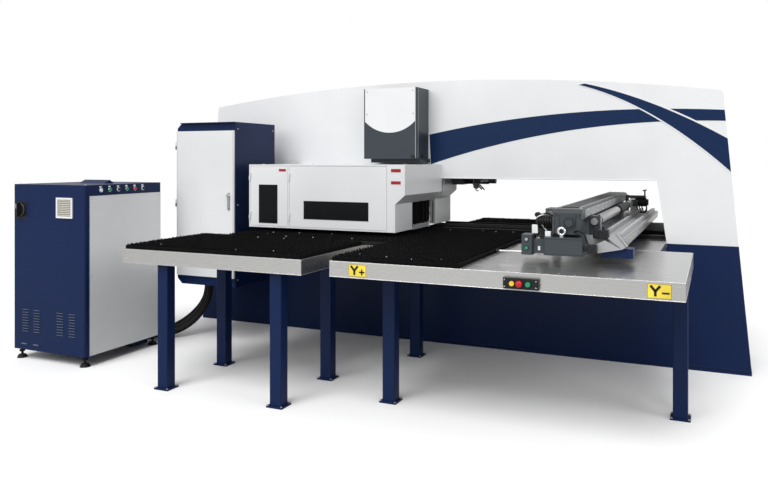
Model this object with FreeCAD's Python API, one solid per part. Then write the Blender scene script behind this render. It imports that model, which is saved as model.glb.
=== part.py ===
"""CNC turret punch press: a closed bridge frame with two turrets, brush tables, a sheet carriage,
an electrical cabinet and a free-standing power cabinet joined to it by three hoses.

Millimetres, +Z up. X runs along the frame, Y through its throat, and the origin is the punch
axis at the floor. One STEP file per piece goes to parts/.
"""
import FreeCAD
import Part
import math
import os

V = FreeCAD.Vector

# ---- driving dimensions -------------------------------------------------------------------
FIT = 0.3                 # clearance between moving neighbours
# bridge frame
FRAME_MID_X = 303         # middle of the frame's length, from the punch axis
FRAME_HALF_FOOT = 2315    # half length at the floor
FRAME_HALF_TOP = 2133     # half length at the shoulders
FRAME_DEPTH = 640
FRAME_PLATE = 40
BASE_PLATE = 30
TABLE_Z = 900             # every height round the sheet is set from this one
THROAT_Z = TABLE_Z - 40
THROAT_TOP_Z = THROAT_Z + 475
FRAME_SHOULDER_Z = THROAT_TOP_Z + 632
FRAME_CROWN_Z = FRAME_SHOULDER_Z + 153
THROAT_LEFT_X = -1060
THROAT_RIGHT_X = 2075     # at the throat's floor
THROAT_LEAN = 69          # how far its right wall leans in on its way up
# turrets
STATION_R = 450
TURRET_X = -STATION_R     # puts one station on the punch axis
TURRET_R = STATION_R + 110
STATIONS = 20
STATION_BORE = 30
LOWER_TURRET_Z = THROAT_Z + 6
LOWER_TURRET_H = 72
UPPER_TURRET_Z = LOWER_TURRET_Z + LOWER_TURRET_H + 20
UPPER_TURRET_H = 110
SHAFT_R = 70
MOTOR_OFFSET = 240        # of the index motor from the turret axis, left and back
# turret covers
COVER_LEFT_X = -957
COVER_RIGHT_X = 293
COVER_OVERHANG = 76
COVER_FRONT_Y = -1097
COVER_Z = TABLE_Z + 58
COVER_TOP_Z = COVER_Z + 488
COVER_WALL = 12
COVER_NOTCH_Z = COVER_Z + 203
COVER_CHAMFER_Z = COVER_Z + 270
SIDE_OPENING_Y = -772
PILLAR_Y = -272
OVERHANG_BACK_Y = -433
DOOR_LEFT_W = 352
DOOR_MIDDLE_W = 815
DOOR_MARGIN = 12
DOOR_POST = 16            # width of the post between the two doors
DOOR_T = 20
DOOR_SHEET = 3
LEFT_PANE = (96, 256, 38, 327)      # left, right, foot and top, from the covers' left foot
MIDDLE_PANE = (499, 1033, 80, 208)
HINGE_R = 5
HINGE_L = 30              # length of one hinge knuckle
REAR_COVER_DEPTH = 400
REAR_COVER_RIGHT_X = 75
# ram housing
RAM_BOX_LEFT_X = -209
RAM_BOX_RIGHT_X = 258
RAM_BOX_FRONT_Y = -579
RAM_BOX_Z = COVER_TOP_Z + 44
RAM_BOX_TOP_Z = RAM_BOX_Z + 563
RAM_PANEL_EDGE_Z = RAM_BOX_Z + 300
RAM_PANEL_SAG = 92
RAM_PANEL_T = 4
RAM_R = 60
RAM_STROKE = 40
BUSH_L = 60               # of the ram's bush above the throat's roof plate
DRIVE_Z = THROAT_TOP_Z + 270
DRIVE_H = 230
# tables
APRON_H = 91
TABLE_SHEET = 4
BRUSH_H = 34
BRUSH_INSET = 14
TABLE_FRONT_Y = -2204
LEFT_TABLE_X = (-1157, 192)
LEFT_TABLE_Y = (-2244, -1412)
CENTRE_TABLE_X = (357, 2265)
NOTCH_X = 2070            # the right end is narrower beside the frame
NOTCH_Y = -960
BRUSH_RIGHT_X = 1150
REAR_TABLE_Y = 890
LEG = 80
LEG_WALL = 4
FOOT = 110
FOOT_T = 10
FRONT_LEGS = ((-865, -2166), (-865, -1545), (-10, -2166), (-10, -1545),
              (571, -1807), (322, -755), (2209, -1403))
REAR_LEGS = ((450, 830), (1300, 830), (2010, 830))
# carriage
BEAM_X = (1553, 1705)
BEAM_H = 62
BEAM_Y = (-1730, 560)
BEAM_WALL = 8
BED_X = (1500, 1930)
BED_Z = TABLE_Z + 90
BED_T = 50
BED_Y = (-1650, 860)
BED_RAILS = (290, 384)    # from the bed's left edge
BED_RAIL_W = 26
WEB_H = 104               # between the bed and the beam
BEAM_TOP_Z = BED_Z + BED_T + WEB_H + BEAM_H
RAIL_Y = 200
RAIL_W = 45
RAIL_H = 28               # above the deck, below the sheet's path
TRUCK_OVERHANG = 34       # of a saddle truck on each side of its rail
SADDLE_LEN = 330
SCREW_R = 20
SCREW_RISE = 80           # of the screw's axis over the bed
OUTRIGGER_X = (1813, 1979)
OUTRIGGER_Y = (-1700, -1590)
END_BOX_X = (1507, 1722)
END_BOX_Z = (TABLE_Z + 46, TABLE_Z + 147)
END_BOX_DEPTH = 150
HAND_W = 62               # the hand station's width, height and depth
HAND_H = 115
HAND_DEPTH = 110
HAND_ARM = 70
HAND_BUTTON_R = 9
HAND_BUTTON_RISES = (39, 89)
CARRIAGE_LEFT = 1000      # travel towards the turret
CARRIAGE_RIGHT = 80
SHEET_Z = TABLE_Z + 40    # underside of a sheet on the brushes
JAW_Z = SHEET_Z + 17
CLAMP_TOP_Z = SHEET_Z + 140
CLAMP_W = 80
CLAMP_REACH = 215         # of the jaws from the slide's face
# electrical cabinet
EBOX_X = (-1676, -1099)
EBOX_Y = (-1080, -507)
EBOX_Z = (463, 1785)
EBOX_CHAMFER = 45
EBOX_DOOR_Z = (536, 1716)
# power cabinet
PBOX_X = (-2410, -1694)
PBOX_Y = (-2050, -1269)
PBOX_Z = (74, 1301)
PBOX_STRIP_H = 78
PBOX_SHEET = 4
FOOT_INSET = 42
HOSE_D = 45
GRILLE_X = (456, 586)     # from the power cabinet's left side
GRILLE_Z = (1075, 1195)
GRILLE_RIM = 14
SWITCH_X = 76             # from the power cabinet's left side
SWITCH_Z = 1112
SWITCH_R = 50
LOUVRE_X = (97, 211, 444, 562)
LOUVRE_W = 62
LOUVRE_Z = 205
LOUVRE_PITCH = 20
LOUVRE_COUNT = 9
HOOD_X = 257
HOOD_W = 260
HOOD_H = 26
LAMP_PITCH = 86
LAMP_R = 11
# buttons
PANEL_X = 1388
PANEL_W = 185
PANEL_H = 57
PANEL_T = 26
PANEL_RISE = 10           # of the panel over the apron's lower edge
BUTTON_R = 11
BUTTON_TRAVEL = 5
AXIS_PLATE_X = (481, 2092)
AXIS_PLATE_W = 112
AXIS_PLATE_H = 72


def box(x0, x1, y0, y1, z0, z1):
    """A block between two corners."""
    return Part.makeBox(x1 - x0, y1 - y0, z1 - z0, V(x0, y0, z0))


def rod(radius, length, start, direction=V(0, 0, 1)):
    """A round bar from start along direction."""
    return Part.makeCylinder(radius, length, start, direction)


def prism(points, depth):
    """An outline of 3-D points, extruded by a vector."""
    return Part.Face(Part.makePolygon(points + points[:1])).extrude(depth)


def plan(points, z0, z1):
    """A plan outline of (x, y) points between two heights."""
    return prism([V(x, y, z0) for x, y in points], V(0, 0, z1 - z0))


def side(points, y0, y1):
    """An elevation outline of (x, z) points between two depths."""
    return prism([V(x, y0, z) for x, z in points], V(0, y1 - y0, 0))


def fuse(shapes):
    """One solid from touching shapes, with its flush faces merged."""
    first = shapes[0]
    joined = first.fuse(shapes[1:]) if len(shapes) > 1 else first
    return joined.removeSplitter()


def soften(shape, radius, picked):
    """Rounds the edges that picked(edge) chooses."""
    edges = [edge for edge in shape.Edges if picked(edge)]
    return shape.makeFillet(radius, edges)


def upright(edge):
    """True for a vertical straight edge."""
    ends = [vertex.Point for vertex in edge.Vertexes]
    return len(ends) == 2 and (ends[0] - ends[1]).cross(V(0, 0, 1)).Length < 0.01


def ring_of(count, make):
    """A list of count shapes, one for each angle round a circle."""
    return [make(2 * math.pi * step / count) for step in range(count)]


# ---- bridge frame ---------------------------------------------------------------------------
def frame_outline(shrink, y, foot_z):
    """The frame's arched outline as a wire at depth y, moved in by shrink."""
    lean = (FRAME_HALF_FOOT - FRAME_HALF_TOP) / FRAME_SHOULDER_Z
    foot = FRAME_HALF_FOOT - lean * foot_z - shrink
    top = FRAME_HALF_TOP - shrink
    shoulder = FRAME_SHOULDER_Z - shrink
    left_foot = V(FRAME_MID_X - foot, y, foot_z)
    right_foot = V(FRAME_MID_X + foot, y, foot_z)
    left_top = V(FRAME_MID_X - top, y, shoulder)
    right_top = V(FRAME_MID_X + top, y, shoulder)
    crown = V(FRAME_MID_X, y, FRAME_CROWN_Z - shrink)
    edges = [Part.LineSegment(right_foot, left_foot), Part.LineSegment(left_foot, left_top),
             Part.Arc(left_top, crown, right_top), Part.LineSegment(right_top, right_foot)]
    return Part.Wire([edge.toShape() for edge in edges])


def throat_points(grow, y):
    """The throat's outline, moved out by grow."""
    return [(THROAT_LEFT_X - grow, THROAT_Z - grow), (THROAT_RIGHT_X + grow, THROAT_Z - grow),
            (THROAT_RIGHT_X - THROAT_LEAN + grow, THROAT_TOP_Z + grow),
            (THROAT_LEFT_X - grow, THROAT_TOP_Z + grow)]


def press_frame():
    """A welded box: front and back plates with an outer skin and a skin round the throat."""
    half = FRAME_DEPTH / 2
    body = Part.Face(frame_outline(0, -half, BASE_PLATE)).extrude(V(0, FRAME_DEPTH, 0))
    throat = side(throat_points(0, 0), -half, half)
    inner_half = half - FRAME_PLATE
    hollow = Part.Face(frame_outline(FRAME_PLATE, -inner_half, BASE_PLATE))
    hollow = hollow.extrude(V(0, 2 * inner_half, 0))
    hollow = hollow.cut(side(throat_points(FRAME_PLATE, 0), -inner_half, inner_half))
    ram_hole = rod(RAM_R + 45, 2 * FRAME_PLATE, V(0, 0, THROAT_TOP_Z - FRAME_PLATE / 2))
    solid = body.cut([throat, hollow, ram_hole])
    return soften(solid, 25, shoulder_edge)


def shoulder_edge(edge):
    """True for the two long edges at the frame's shoulders."""
    ends = [vertex.Point for vertex in edge.Vertexes]
    level = all(abs(point.z - FRAME_SHOULDER_Z) < 0.5 for point in ends)
    return level and len(ends) == 2 and abs(ends[0].y - ends[1].y) > FRAME_DEPTH - 1


def frame_base_plate():
    """The flat plate that the frame stands on."""
    half = FRAME_HALF_FOOT
    return box(FRAME_MID_X - half, FRAME_MID_X + half, -FRAME_DEPTH / 2, FRAME_DEPTH / 2,
               0, BASE_PLATE)


# ---- turrets, ram and what carries them -------------------------------------------------------
def station_places():
    """The centres of the tool stations, the first one on the punch axis."""
    return ring_of(STATIONS, lambda angle: (TURRET_X + STATION_R * math.cos(angle),
                                            STATION_R * math.sin(angle)))


def turret_disc(z, height, rim_groove):
    """A turret with a bore for its shaft and one bore per station."""
    centre = V(TURRET_X, 0, z)
    disc = rod(TURRET_R, height, centre)
    cuts = [rod(SHAFT_R + FIT, height, centre)]
    cuts += [rod(STATION_BORE, height, V(x, y, z)) for x, y in station_places()]
    groove = rod(TURRET_R + 1, rim_groove, V(TURRET_X, 0, z + height / 2 - rim_groove / 2))
    cuts.append(groove.cut(rod(TURRET_R - 8, rim_groove, V(TURRET_X, 0, z + height / 2
                                                           - rim_groove / 2))))
    return disc.cut(cuts)


def upper_turret():
    return turret_disc(UPPER_TURRET_Z, UPPER_TURRET_H, 24)


def lower_turret():
    return turret_disc(LOWER_TURRET_Z, LOWER_TURRET_H, 12)


def punch_holders():
    """One punch with its head and spring collar in each upper station."""
    top = UPPER_TURRET_Z + UPPER_TURRET_H
    pieces = []
    for x, y in station_places():
        shank = rod(STATION_BORE, UPPER_TURRET_H - 6, V(x, y, UPPER_TURRET_Z + 6))
        collar = rod(STATION_BORE + 8, 18, V(x, y, top))
        head = rod(STATION_BORE - 8, 34, V(x, y, top + 18))
        pieces.append(shank.fuse([collar, head]).removeSplitter())
    return Part.makeCompound(pieces)


def die_holders():
    """One ring die in each lower station."""
    top = LOWER_TURRET_Z + LOWER_TURRET_H
    pieces = []
    for x, y in station_places():
        ring = rod(STATION_BORE, 30, V(x, y, top - 28))
        pieces.append(ring.cut(rod(12, 30, V(x, y, top - 28))))
    return Part.makeCompound(pieces)


def turret_shafts():
    """The upper and lower turret spindles, flanged to the throat's roof and floor."""
    upper_z = UPPER_TURRET_Z - 14
    upper = rod(SHAFT_R, THROAT_TOP_Z - upper_z, V(TURRET_X, 0, upper_z))
    roof_flange = rod(SHAFT_R + 60, 30, V(TURRET_X, 0, THROAT_TOP_Z - 30))
    retainer = rod(SHAFT_R + 35, 14 - FIT, V(TURRET_X, 0, upper_z))
    lower = rod(SHAFT_R, LOWER_TURRET_Z + LOWER_TURRET_H - THROAT_Z, V(TURRET_X, 0, THROAT_Z))
    floor_flange = rod(SHAFT_R + 60, LOWER_TURRET_Z - THROAT_Z - FIT, V(TURRET_X, 0, THROAT_Z))
    return Part.makeCompound([fuse([upper, roof_flange, retainer]), fuse([lower, floor_flange])])


def ram_guide():
    """The flanged bush in the throat's roof that the ram slides in."""
    sleeve = rod(RAM_R + 44, FRAME_PLATE + BUSH_L, V(0, 0, THROAT_TOP_Z))
    flange = rod(RAM_R + 75, 24, V(0, 0, THROAT_TOP_Z - 24))
    return fuse([sleeve, flange]).cut(rod(RAM_R + FIT, 300, V(0, 0, THROAT_TOP_Z - 100)))


def ram():
    """The ram with the striker at its lower end, above the station on the punch axis."""
    head_top = UPPER_TURRET_Z + UPPER_TURRET_H + 52
    start = head_top + RAM_STROKE + 5
    shank = rod(RAM_R, DRIVE_Z - 10 - start, V(0, 0, start))
    striker = Part.makeCone(RAM_R - 18, RAM_R, 24, V(0, 0, start))
    top_nut = rod(RAM_R + 20, 40, V(0, 0, THROAT_TOP_Z + FRAME_PLATE + BUSH_L + RAM_STROKE + 10))
    neck = box(-2 * RAM_R, 2 * RAM_R, -2 * RAM_R, 2 * RAM_R, start, start + 24)
    return fuse([shank.cut(neck), striker, top_nut])


def ram_drive():
    """The servo drive above the ram, bolted to the inside of the frame's front plate."""
    y0 = FRAME_PLATE - FRAME_DEPTH / 2
    half = RAM_R + 90
    gearcase = box(-half, half, y0, half + 20, DRIVE_Z, DRIVE_Z + DRIVE_H)
    gearcase = soften(gearcase, 20, upright)
    sleeve = rod(RAM_R + 20, 60, V(0, 0, DRIVE_Z - 60))
    motor = rod(RAM_R + 35, 200, V(0, 0, DRIVE_Z + DRIVE_H))
    return fuse([gearcase, sleeve, motor]).cut(rod(RAM_R + FIT, 60, V(0, 0, DRIVE_Z - 60)))


def index_motor():
    """The turret's index gearmotor, hung from the throat's roof over the turret's left part."""
    x = TURRET_X - MOTOR_OFFSET
    foot = box(x - 90, x + 90, MOTOR_OFFSET - 90, MOTOR_OFFSET + 60, THROAT_TOP_Z - 16, THROAT_TOP_Z)
    body = box(x - 70, x + 70, MOTOR_OFFSET - 70, MOTOR_OFFSET + 45, THROAT_TOP_Z - 110,
               THROAT_TOP_Z - 16)
    cap = rod(44, 40, V(x, MOTOR_OFFSET, THROAT_TOP_Z - 150))
    return fuse([foot, body, cap])


# ---- turret covers ---------------------------------------------------------------------------
def cover_right_profile(outset):
    """The right end's outline: the notch for the sheet, the chamfer and the overhang above."""
    left = COVER_LEFT_X - outset
    right = COVER_RIGHT_X + outset
    over = COVER_RIGHT_X + COVER_OVERHANG + outset
    return [(left, COVER_Z), (right, COVER_Z), (right, COVER_NOTCH_Z), (over, COVER_CHAMFER_Z),
            (over, COVER_TOP_Z + outset), (left, COVER_TOP_Z + outset)]


def door_box(which, grow):
    """The block that a front door fills, larger by grow all round."""
    x0 = COVER_LEFT_X + DOOR_MARGIN
    x1 = COVER_LEFT_X + DOOR_LEFT_W
    if which == "middle":
        x0 = x1 + DOOR_POST
        x1 = x0 + DOOR_MIDDLE_W
    z0 = COVER_Z + DOOR_MARGIN
    z1 = COVER_TOP_Z - DOOR_MARGIN
    return box(x0 - grow, x1 + grow, COVER_FRONT_Y - 1, COVER_FRONT_Y + DOOR_T + grow,
               z0 - grow, z1 + grow)


def turret_cover():
    """The front turret cover: a sheet hood with two door openings and an open side for the sheet."""
    back = -FRAME_DEPTH / 2
    outer = side(cover_right_profile(0), COVER_FRONT_Y, back)
    inner = side(cover_right_profile(-COVER_WALL), COVER_FRONT_Y + COVER_WALL, back)
    under = box(COVER_LEFT_X + COVER_WALL, COVER_RIGHT_X - COVER_WALL,
                COVER_FRONT_Y + COVER_WALL, back, COVER_Z - 1, COVER_Z + 20)
    sheet_slot = box(COVER_RIGHT_X - 30, COVER_RIGHT_X + COVER_OVERHANG + 1, SIDE_OPENING_Y,
                     back + 1, COVER_Z - 1, COVER_NOTCH_Z)
    doors = [door_box("left", 2), door_box("middle", 2)]
    hood = outer.cut([inner, under, sheet_slot] + doors)
    halves = []
    for which in ("left", "middle"):
        x, y, heights = cover_hinge_axis(which)
        for z in heights:
            leaf = box(x - 10, x, y, COVER_FRONT_Y, z - HINGE_L, z - FIT)
            halves.append(hinge_fixed(x, y, z, leaf))
    return fuse([hood] + halves)


def hinge_fixed(x, y, z, leaf):
    """A hinge's fixed half at z: a knuckle with its pin, and the leaf to the wall beside it."""
    knuckle = rod(HINGE_R, HINGE_L - FIT, V(x, y, z - HINGE_L))
    pin = rod(HINGE_R / 2, 2 * HINGE_L, V(x, y, z - HINGE_L))
    return fuse([knuckle, pin, leaf])


def hinge_moving(x, y, z, leaf):
    """A hinge's moving half at z: a bored knuckle over the pin, with its leaf to the door."""
    knuckle = rod(HINGE_R, HINGE_L, V(x, y, z))
    return fuse([knuckle, leaf]).cut(rod(HINGE_R / 2 + FIT, HINGE_L, V(x, y, z)))


def cover_hinge_axis(which):
    """The x, y and heights of a front door's hinges."""
    bounds = door_box(which, 0).BoundBox
    heights = (bounds.ZMin + 80, bounds.ZMax - 80)
    return bounds.XMin - 1, COVER_FRONT_Y - HINGE_R - 1, heights


def pane_space(pane):
    """The space of a door's window, from its pane's edges."""
    left, right, foot, top = pane
    return box(COVER_LEFT_X + left, COVER_LEFT_X + right, COVER_FRONT_Y - 9, COVER_FRONT_Y + 40,
               COVER_Z + foot, COVER_Z + top)


def cover_door(which, pane):
    """A sheet door with a folded rim, a window pane and two hinges at its left edge."""
    slab = door_box(which, 0)
    bounds = slab.BoundBox
    y0 = COVER_FRONT_Y
    slab = box(bounds.XMin, bounds.XMax, y0, y0 + DOOR_T, bounds.ZMin, bounds.ZMax)
    skin = DOOR_SHEET
    tray = box(bounds.XMin + skin, bounds.XMax - skin, y0 + skin, y0 + DOOR_T,
               bounds.ZMin + skin, bounds.ZMax - skin)
    window = pane_space(pane)
    layer = box(bounds.XMin, bounds.XMax, y0 + 1, y0 + skin, bounds.ZMin, bounds.ZMax)
    frame = slab.cut([tray, window])
    x, y, heights = cover_hinge_axis(which)
    halves = [hinge_moving(x, y, z, box(x, x + 10, y, y0 + 1, z, z + HINGE_L)) for z in heights]
    return fuse([frame, window.common(layer)] + halves)


def cover_door_left():
    return cover_door("left", LEFT_PANE)


def cover_door_middle():
    return cover_door("middle", MIDDLE_PANE)


def cover_side_block():
    """The block under the throat's roof and the pillar below it, right of the turrets."""
    over = COVER_RIGHT_X + COVER_OVERHANG
    upper = box(COVER_RIGHT_X - 60, over, PILLAR_Y, 54, COVER_CHAMFER_Z, THROAT_TOP_Z)
    slot = box(over - 12, over, PILLAR_Y + 40, 20, THROAT_TOP_Z - 45, THROAT_TOP_Z)
    wing = prism([V(COVER_RIGHT_X, PILLAR_Y, COVER_NOTCH_Z), V(over, PILLAR_Y, COVER_CHAMFER_Z),
                  V(COVER_RIGHT_X, PILLAR_Y, COVER_CHAMFER_Z)], V(0, 54 - PILLAR_Y, 0))
    pillar = box(COVER_RIGHT_X - 45, COVER_RIGHT_X, PILLAR_Y, 111, COVER_Z, COVER_CHAMFER_Z)
    return fuse([upper.cut(slot), wing, pillar])


def rear_turret_cover():
    """The plain hood over the turrets' rear part, open below and towards the throat."""
    front = FRAME_DEPTH / 2
    back = front + REAR_COVER_DEPTH
    wall = COVER_WALL
    hood = box(COVER_LEFT_X, REAR_COVER_RIGHT_X, front, back, COVER_Z, COVER_TOP_Z)
    room = box(COVER_LEFT_X + wall, REAR_COVER_RIGHT_X - wall, front, back - wall, COVER_Z,
               COVER_TOP_Z - wall)
    return hood.cut(room)


# ---- ram housing -------------------------------------------------------------------------------
def ram_housing():
    """The folded box over the ram drive, with a mounting ledge under it."""
    back = -FRAME_DEPTH / 2
    shell = box(RAM_BOX_LEFT_X, RAM_BOX_RIGHT_X, RAM_BOX_FRONT_Y, back, RAM_BOX_Z, RAM_BOX_TOP_Z)
    shell = soften(shell, 14, upright)
    room = box(RAM_BOX_LEFT_X + 6, RAM_BOX_RIGHT_X - 6, RAM_BOX_FRONT_Y + 6, back,
               RAM_BOX_Z + 6, RAM_BOX_TOP_Z - 6)
    ledge = box(RAM_BOX_LEFT_X + 35, RAM_BOX_RIGHT_X + 12, RAM_BOX_FRONT_Y + 70, back,
                RAM_BOX_Z - 30, RAM_BOX_Z)
    return fuse([shell.cut(room), ledge])


def ram_front_panel():
    """The light panel on the housing's front, with its lower edge a sagging arc."""
    left = RAM_BOX_LEFT_X + 16
    right = RAM_BOX_RIGHT_X - 16
    middle = (left + right) / 2
    y = RAM_BOX_FRONT_Y - RAM_PANEL_T
    top_left = V(left, y, RAM_BOX_TOP_Z)
    top_right = V(right, y, RAM_BOX_TOP_Z)
    low_left = V(left, y, RAM_PANEL_EDGE_Z)
    low_right = V(right, y, RAM_PANEL_EDGE_Z)
    sag = V(middle, y, RAM_PANEL_EDGE_Z - RAM_PANEL_SAG)
    edges = [Part.LineSegment(top_left, low_left), Part.Arc(low_left, sag, low_right),
             Part.LineSegment(low_right, top_right), Part.LineSegment(top_right, top_left)]
    wire = Part.Wire([edge.toShape() for edge in edges])
    return Part.Face(wire).extrude(V(0, RAM_PANEL_T, 0))


def overhead_unit():
    """The air lubricator on its bracket under the throat's roof, with a drain lever."""
    x = COVER_RIGHT_X + COVER_OVERHANG
    bracket = box(x, x + 96, -60, 60, THROAT_TOP_Z - 60, THROAT_TOP_Z)
    body = rod(27, 205, V(x + 96, 0, THROAT_TOP_Z - 28), V(1, 0, 0))
    tail = rod(21, 60, V(x + 301, 0, THROAT_TOP_Z - 28), V(1, 0, 0))
    lever = rod(6, 70, V(x + 190, 0, THROAT_TOP_Z - 50), V(0.7, 0, -0.7))
    return fuse([bracket, body, tail, lever])


# ---- tables ------------------------------------------------------------------------------------
def inset_plan(points, inset):
    """A plan outline moved in by inset, as (x, y) points; the outline runs anticlockwise."""
    wire = Part.makePolygon([V(x, y, 0) for x, y in points + points[:1]])
    moved = Part.Face(wire).makeOffset2D(-inset, 2)
    return [(vertex.X, vertex.Y) for vertex in moved.OuterWire.OrderedVertexes]


def tray(points):
    """A table top: one sheet folded down all round."""
    outer = plan(points, TABLE_Z - APRON_H, TABLE_Z)
    room = plan(inset_plan(points, TABLE_SHEET), TABLE_Z - APRON_H, TABLE_Z - TABLE_SHEET)
    return outer.cut(room)


def rectangle(x_range, y_range):
    """The plan outline of a rectangle."""
    x0, x1 = x_range
    y0, y1 = y_range
    return [(x0, y0), (x1, y0), (x1, y1), (x0, y1)]


def centre_plan():
    """The centre table's outline: it runs on under the turret cover and is notched at the right."""
    x0, x1 = CENTRE_TABLE_X
    back = -FRAME_DEPTH / 2
    hidden_back = -TURRET_R - 40
    return [(x0, TABLE_FRONT_Y), (x1, TABLE_FRONT_Y), (x1, NOTCH_Y), (NOTCH_X, NOTCH_Y),
            (NOTCH_X, back), (180, back), (180, hidden_back), (COVER_LEFT_X, hidden_back),
            (COVER_LEFT_X, LEFT_TABLE_Y[1]), (x0, LEFT_TABLE_Y[1])]


def left_table():
    return tray(rectangle(LEFT_TABLE_X, LEFT_TABLE_Y))


def centre_table():
    return tray(centre_plan())


def rear_table():
    return tray(rectangle((CENTRE_TABLE_X[0], NOTCH_X), (FRAME_DEPTH / 2, REAR_TABLE_Y)))


def brush_field(points):
    """A bed of bristle strips, as the block that their tips fill."""
    return plan(points, TABLE_Z, TABLE_Z + BRUSH_H)


def left_brush():
    points = rectangle(LEFT_TABLE_X, LEFT_TABLE_Y)
    return brush_field(inset_plan(points, BRUSH_INSET))


def centre_brush():
    x0 = CENTRE_TABLE_X[0]
    points = [(BRUSH_RIGHT_X, -FRAME_DEPTH / 2) if x > BRUSH_RIGHT_X else (x, y)
              for x, y in centre_plan()]
    outline = [(x0, TABLE_FRONT_Y), (BRUSH_RIGHT_X, TABLE_FRONT_Y)] + points[4:]
    return brush_field(inset_plan(outline, BRUSH_INSET))


def rear_brush():
    points = rectangle((CENTRE_TABLE_X[0], BRUSH_RIGHT_X), (FRAME_DEPTH / 2, REAR_TABLE_Y))
    return brush_field(inset_plan(points, BRUSH_INSET))


def throat_deck():
    """The deck that bridges the throat between the front and rear tables."""
    half = FRAME_DEPTH / 2
    x0 = TURRET_X + TURRET_R + 70
    deck = box(x0, NOTCH_X - 12, -half, half, THROAT_Z, TABLE_Z)
    brush = box(x0 + BRUSH_INSET, BRUSH_RIGHT_X - BRUSH_INSET, -half, half, TABLE_Z,
                TABLE_Z + BRUSH_H)
    lane = RAIL_W / 2 + TRUCK_OVERHANG + 6
    lanes = [box(x0, NOTCH_X, y - lane, y + lane, TABLE_Z, TABLE_Z + BRUSH_H)
             for y in (-RAIL_Y, RAIL_Y)]
    rail_cuts = [rail_block(y, 4) for y in (-RAIL_Y, RAIL_Y)]
    return fuse([deck, brush.cut(lanes)]).cut(rail_cuts)


def rail_block(y, grow):
    """The space of one carriage rail, wider by grow on each side."""
    return box(BRUSH_RIGHT_X - CARRIAGE_LEFT + 190, NOTCH_X - 12, y - RAIL_W / 2 - grow,
               y + RAIL_W / 2 + grow, THROAT_Z + 10, TABLE_Z + RAIL_H)


def carriage_rails():
    """The two rails on the throat floor that carry the carriage."""
    rails = []
    for y in (-RAIL_Y, RAIL_Y):
        bounds = rail_block(y, 0).BoundBox
        rail = box(bounds.XMin + 4, bounds.XMax, bounds.YMin, bounds.YMax, THROAT_Z + 10,
                   TABLE_Z + RAIL_H)
        grooves = [rod(7, bounds.XLength, V(bounds.XMin, edge, TABLE_Z + RAIL_H - 16), V(1, 0, 0))
                   for edge in (bounds.YMin, bounds.YMax)]
        rails.append(rail.cut(grooves))
    return Part.makeCompound(rails)


def cable_trough():
    """The channel behind the throat that the carriage's cable chain lies in."""
    y0 = FRAME_DEPTH / 2
    x0 = BEAM_X[0] + CARRIAGE_RIGHT + 12
    channel = box(x0, NOTCH_X - 30, y0, y0 + 110, TABLE_Z, BED_Z - 18)
    room = box(x0 + 3, NOTCH_X - 33, y0 + 3, y0 + 107, TABLE_Z + 3, BED_Z - 18)
    return channel.cut(room)


def table_leg(x, y):
    """A square tube on a foot plate."""
    half = LEG / 2
    inner = half - LEG_WALL
    top = TABLE_Z - TABLE_SHEET
    tube = box(x - half, x + half, y - half, y + half, FOOT_T, top)
    tube = soften(tube, 6, upright)
    bore = box(x - inner, x + inner, y - inner, y + inner, FOOT_T, top)
    foot = box(x - FOOT / 2, x + FOOT / 2, y - FOOT / 2, y + FOOT / 2, 0, FOOT_T)
    return fuse([tube.cut(bore), foot])


def table_legs():
    return Part.makeCompound([table_leg(x, y) for x, y in FRONT_LEGS + REAR_LEGS])


# ---- carriage ----------------------------------------------------------------------------------
def beam():
    """The hollow cross beam on its web, with a capped bearing block at the front."""
    x0, x1 = BEAM_X
    y0, y1 = BEAM_Y
    z0 = BEAM_TOP_Z - BEAM_H
    tube = box(x0, x1, y0, y1, z0, BEAM_TOP_Z)
    room = box(x0 + BEAM_WALL, x1 - BEAM_WALL, y0 + 60, y1 + 1, z0 + BEAM_WALL,
               BEAM_TOP_Z - BEAM_WALL)
    lip = box(x0 - 10, x1 + 6, y0 - 14, y0 + 40, BEAM_TOP_Z - 24, BEAM_TOP_Z)
    web = box(x0 + 27, x1 - 25, BED_Y[0] + 40, y1, BED_Z + BED_T, z0)
    block = box(x0 + 17, x1 - 15, y0 + 20, y0 + 160, BED_Z + BED_T + 18, z0)
    cap = rod(31, 16, V((x0 + x1) / 2, y0 + 20, z0 - 12), V(0, -1, 0))
    return fuse([tube.cut(room), lip, web, block, cap])


def beam_bed():
    """The ribbed bed under the beam, with its two linear rails and the screw brackets."""
    x0, x1 = BED_X
    y0, y1 = BED_Y
    slab = box(x0, x1, y0, y1, BED_Z, BED_Z + BED_T)
    pocket_left = box(x0 + 12, x0 + 70, y0 + 60, y1 - 60, BED_Z + 12, BED_Z + BED_T)
    rails = [box(x, x + BED_RAIL_W, y0 + 40, y1 - 40, BED_Z + BED_T, BED_Z + BED_T + 24)
             for x in (x0 + BED_RAILS[0], x0 + BED_RAILS[1])]
    brackets = [screw_bracket(y) for y in (y0 + 180, y1 - 60)]
    return fuse([slab.cut(pocket_left)] + rails + brackets)


def screw_place():
    """The screw's axis as (x, z)."""
    return BEAM_X[1] + SCREW_R + 16, BED_Z + BED_T + SCREW_RISE


def screw_bracket(y):
    """A bearing block for the screw."""
    x, z = screw_place()
    half = SCREW_R + 12
    block = box(x - half, x + half, y, y + 40, BED_Z + BED_T, z + half)
    return block.cut(rod(SCREW_R, 60, V(x, y - 5, z), V(0, 1, 0)))


def beam_screw():
    """The fixed screw with the cover tube round its middle."""
    x, z = screw_place()
    y0 = BED_Y[0] + 150
    y1 = BED_Y[1]
    bar = rod(SCREW_R, y1 - y0, V(x, y0, z), V(0, 1, 0))
    tube = rod(SCREW_R + 8, y1 - y0 - 240, V(x, y0 + 100, z), V(0, 1, 0))
    return fuse([bar, tube])


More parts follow.
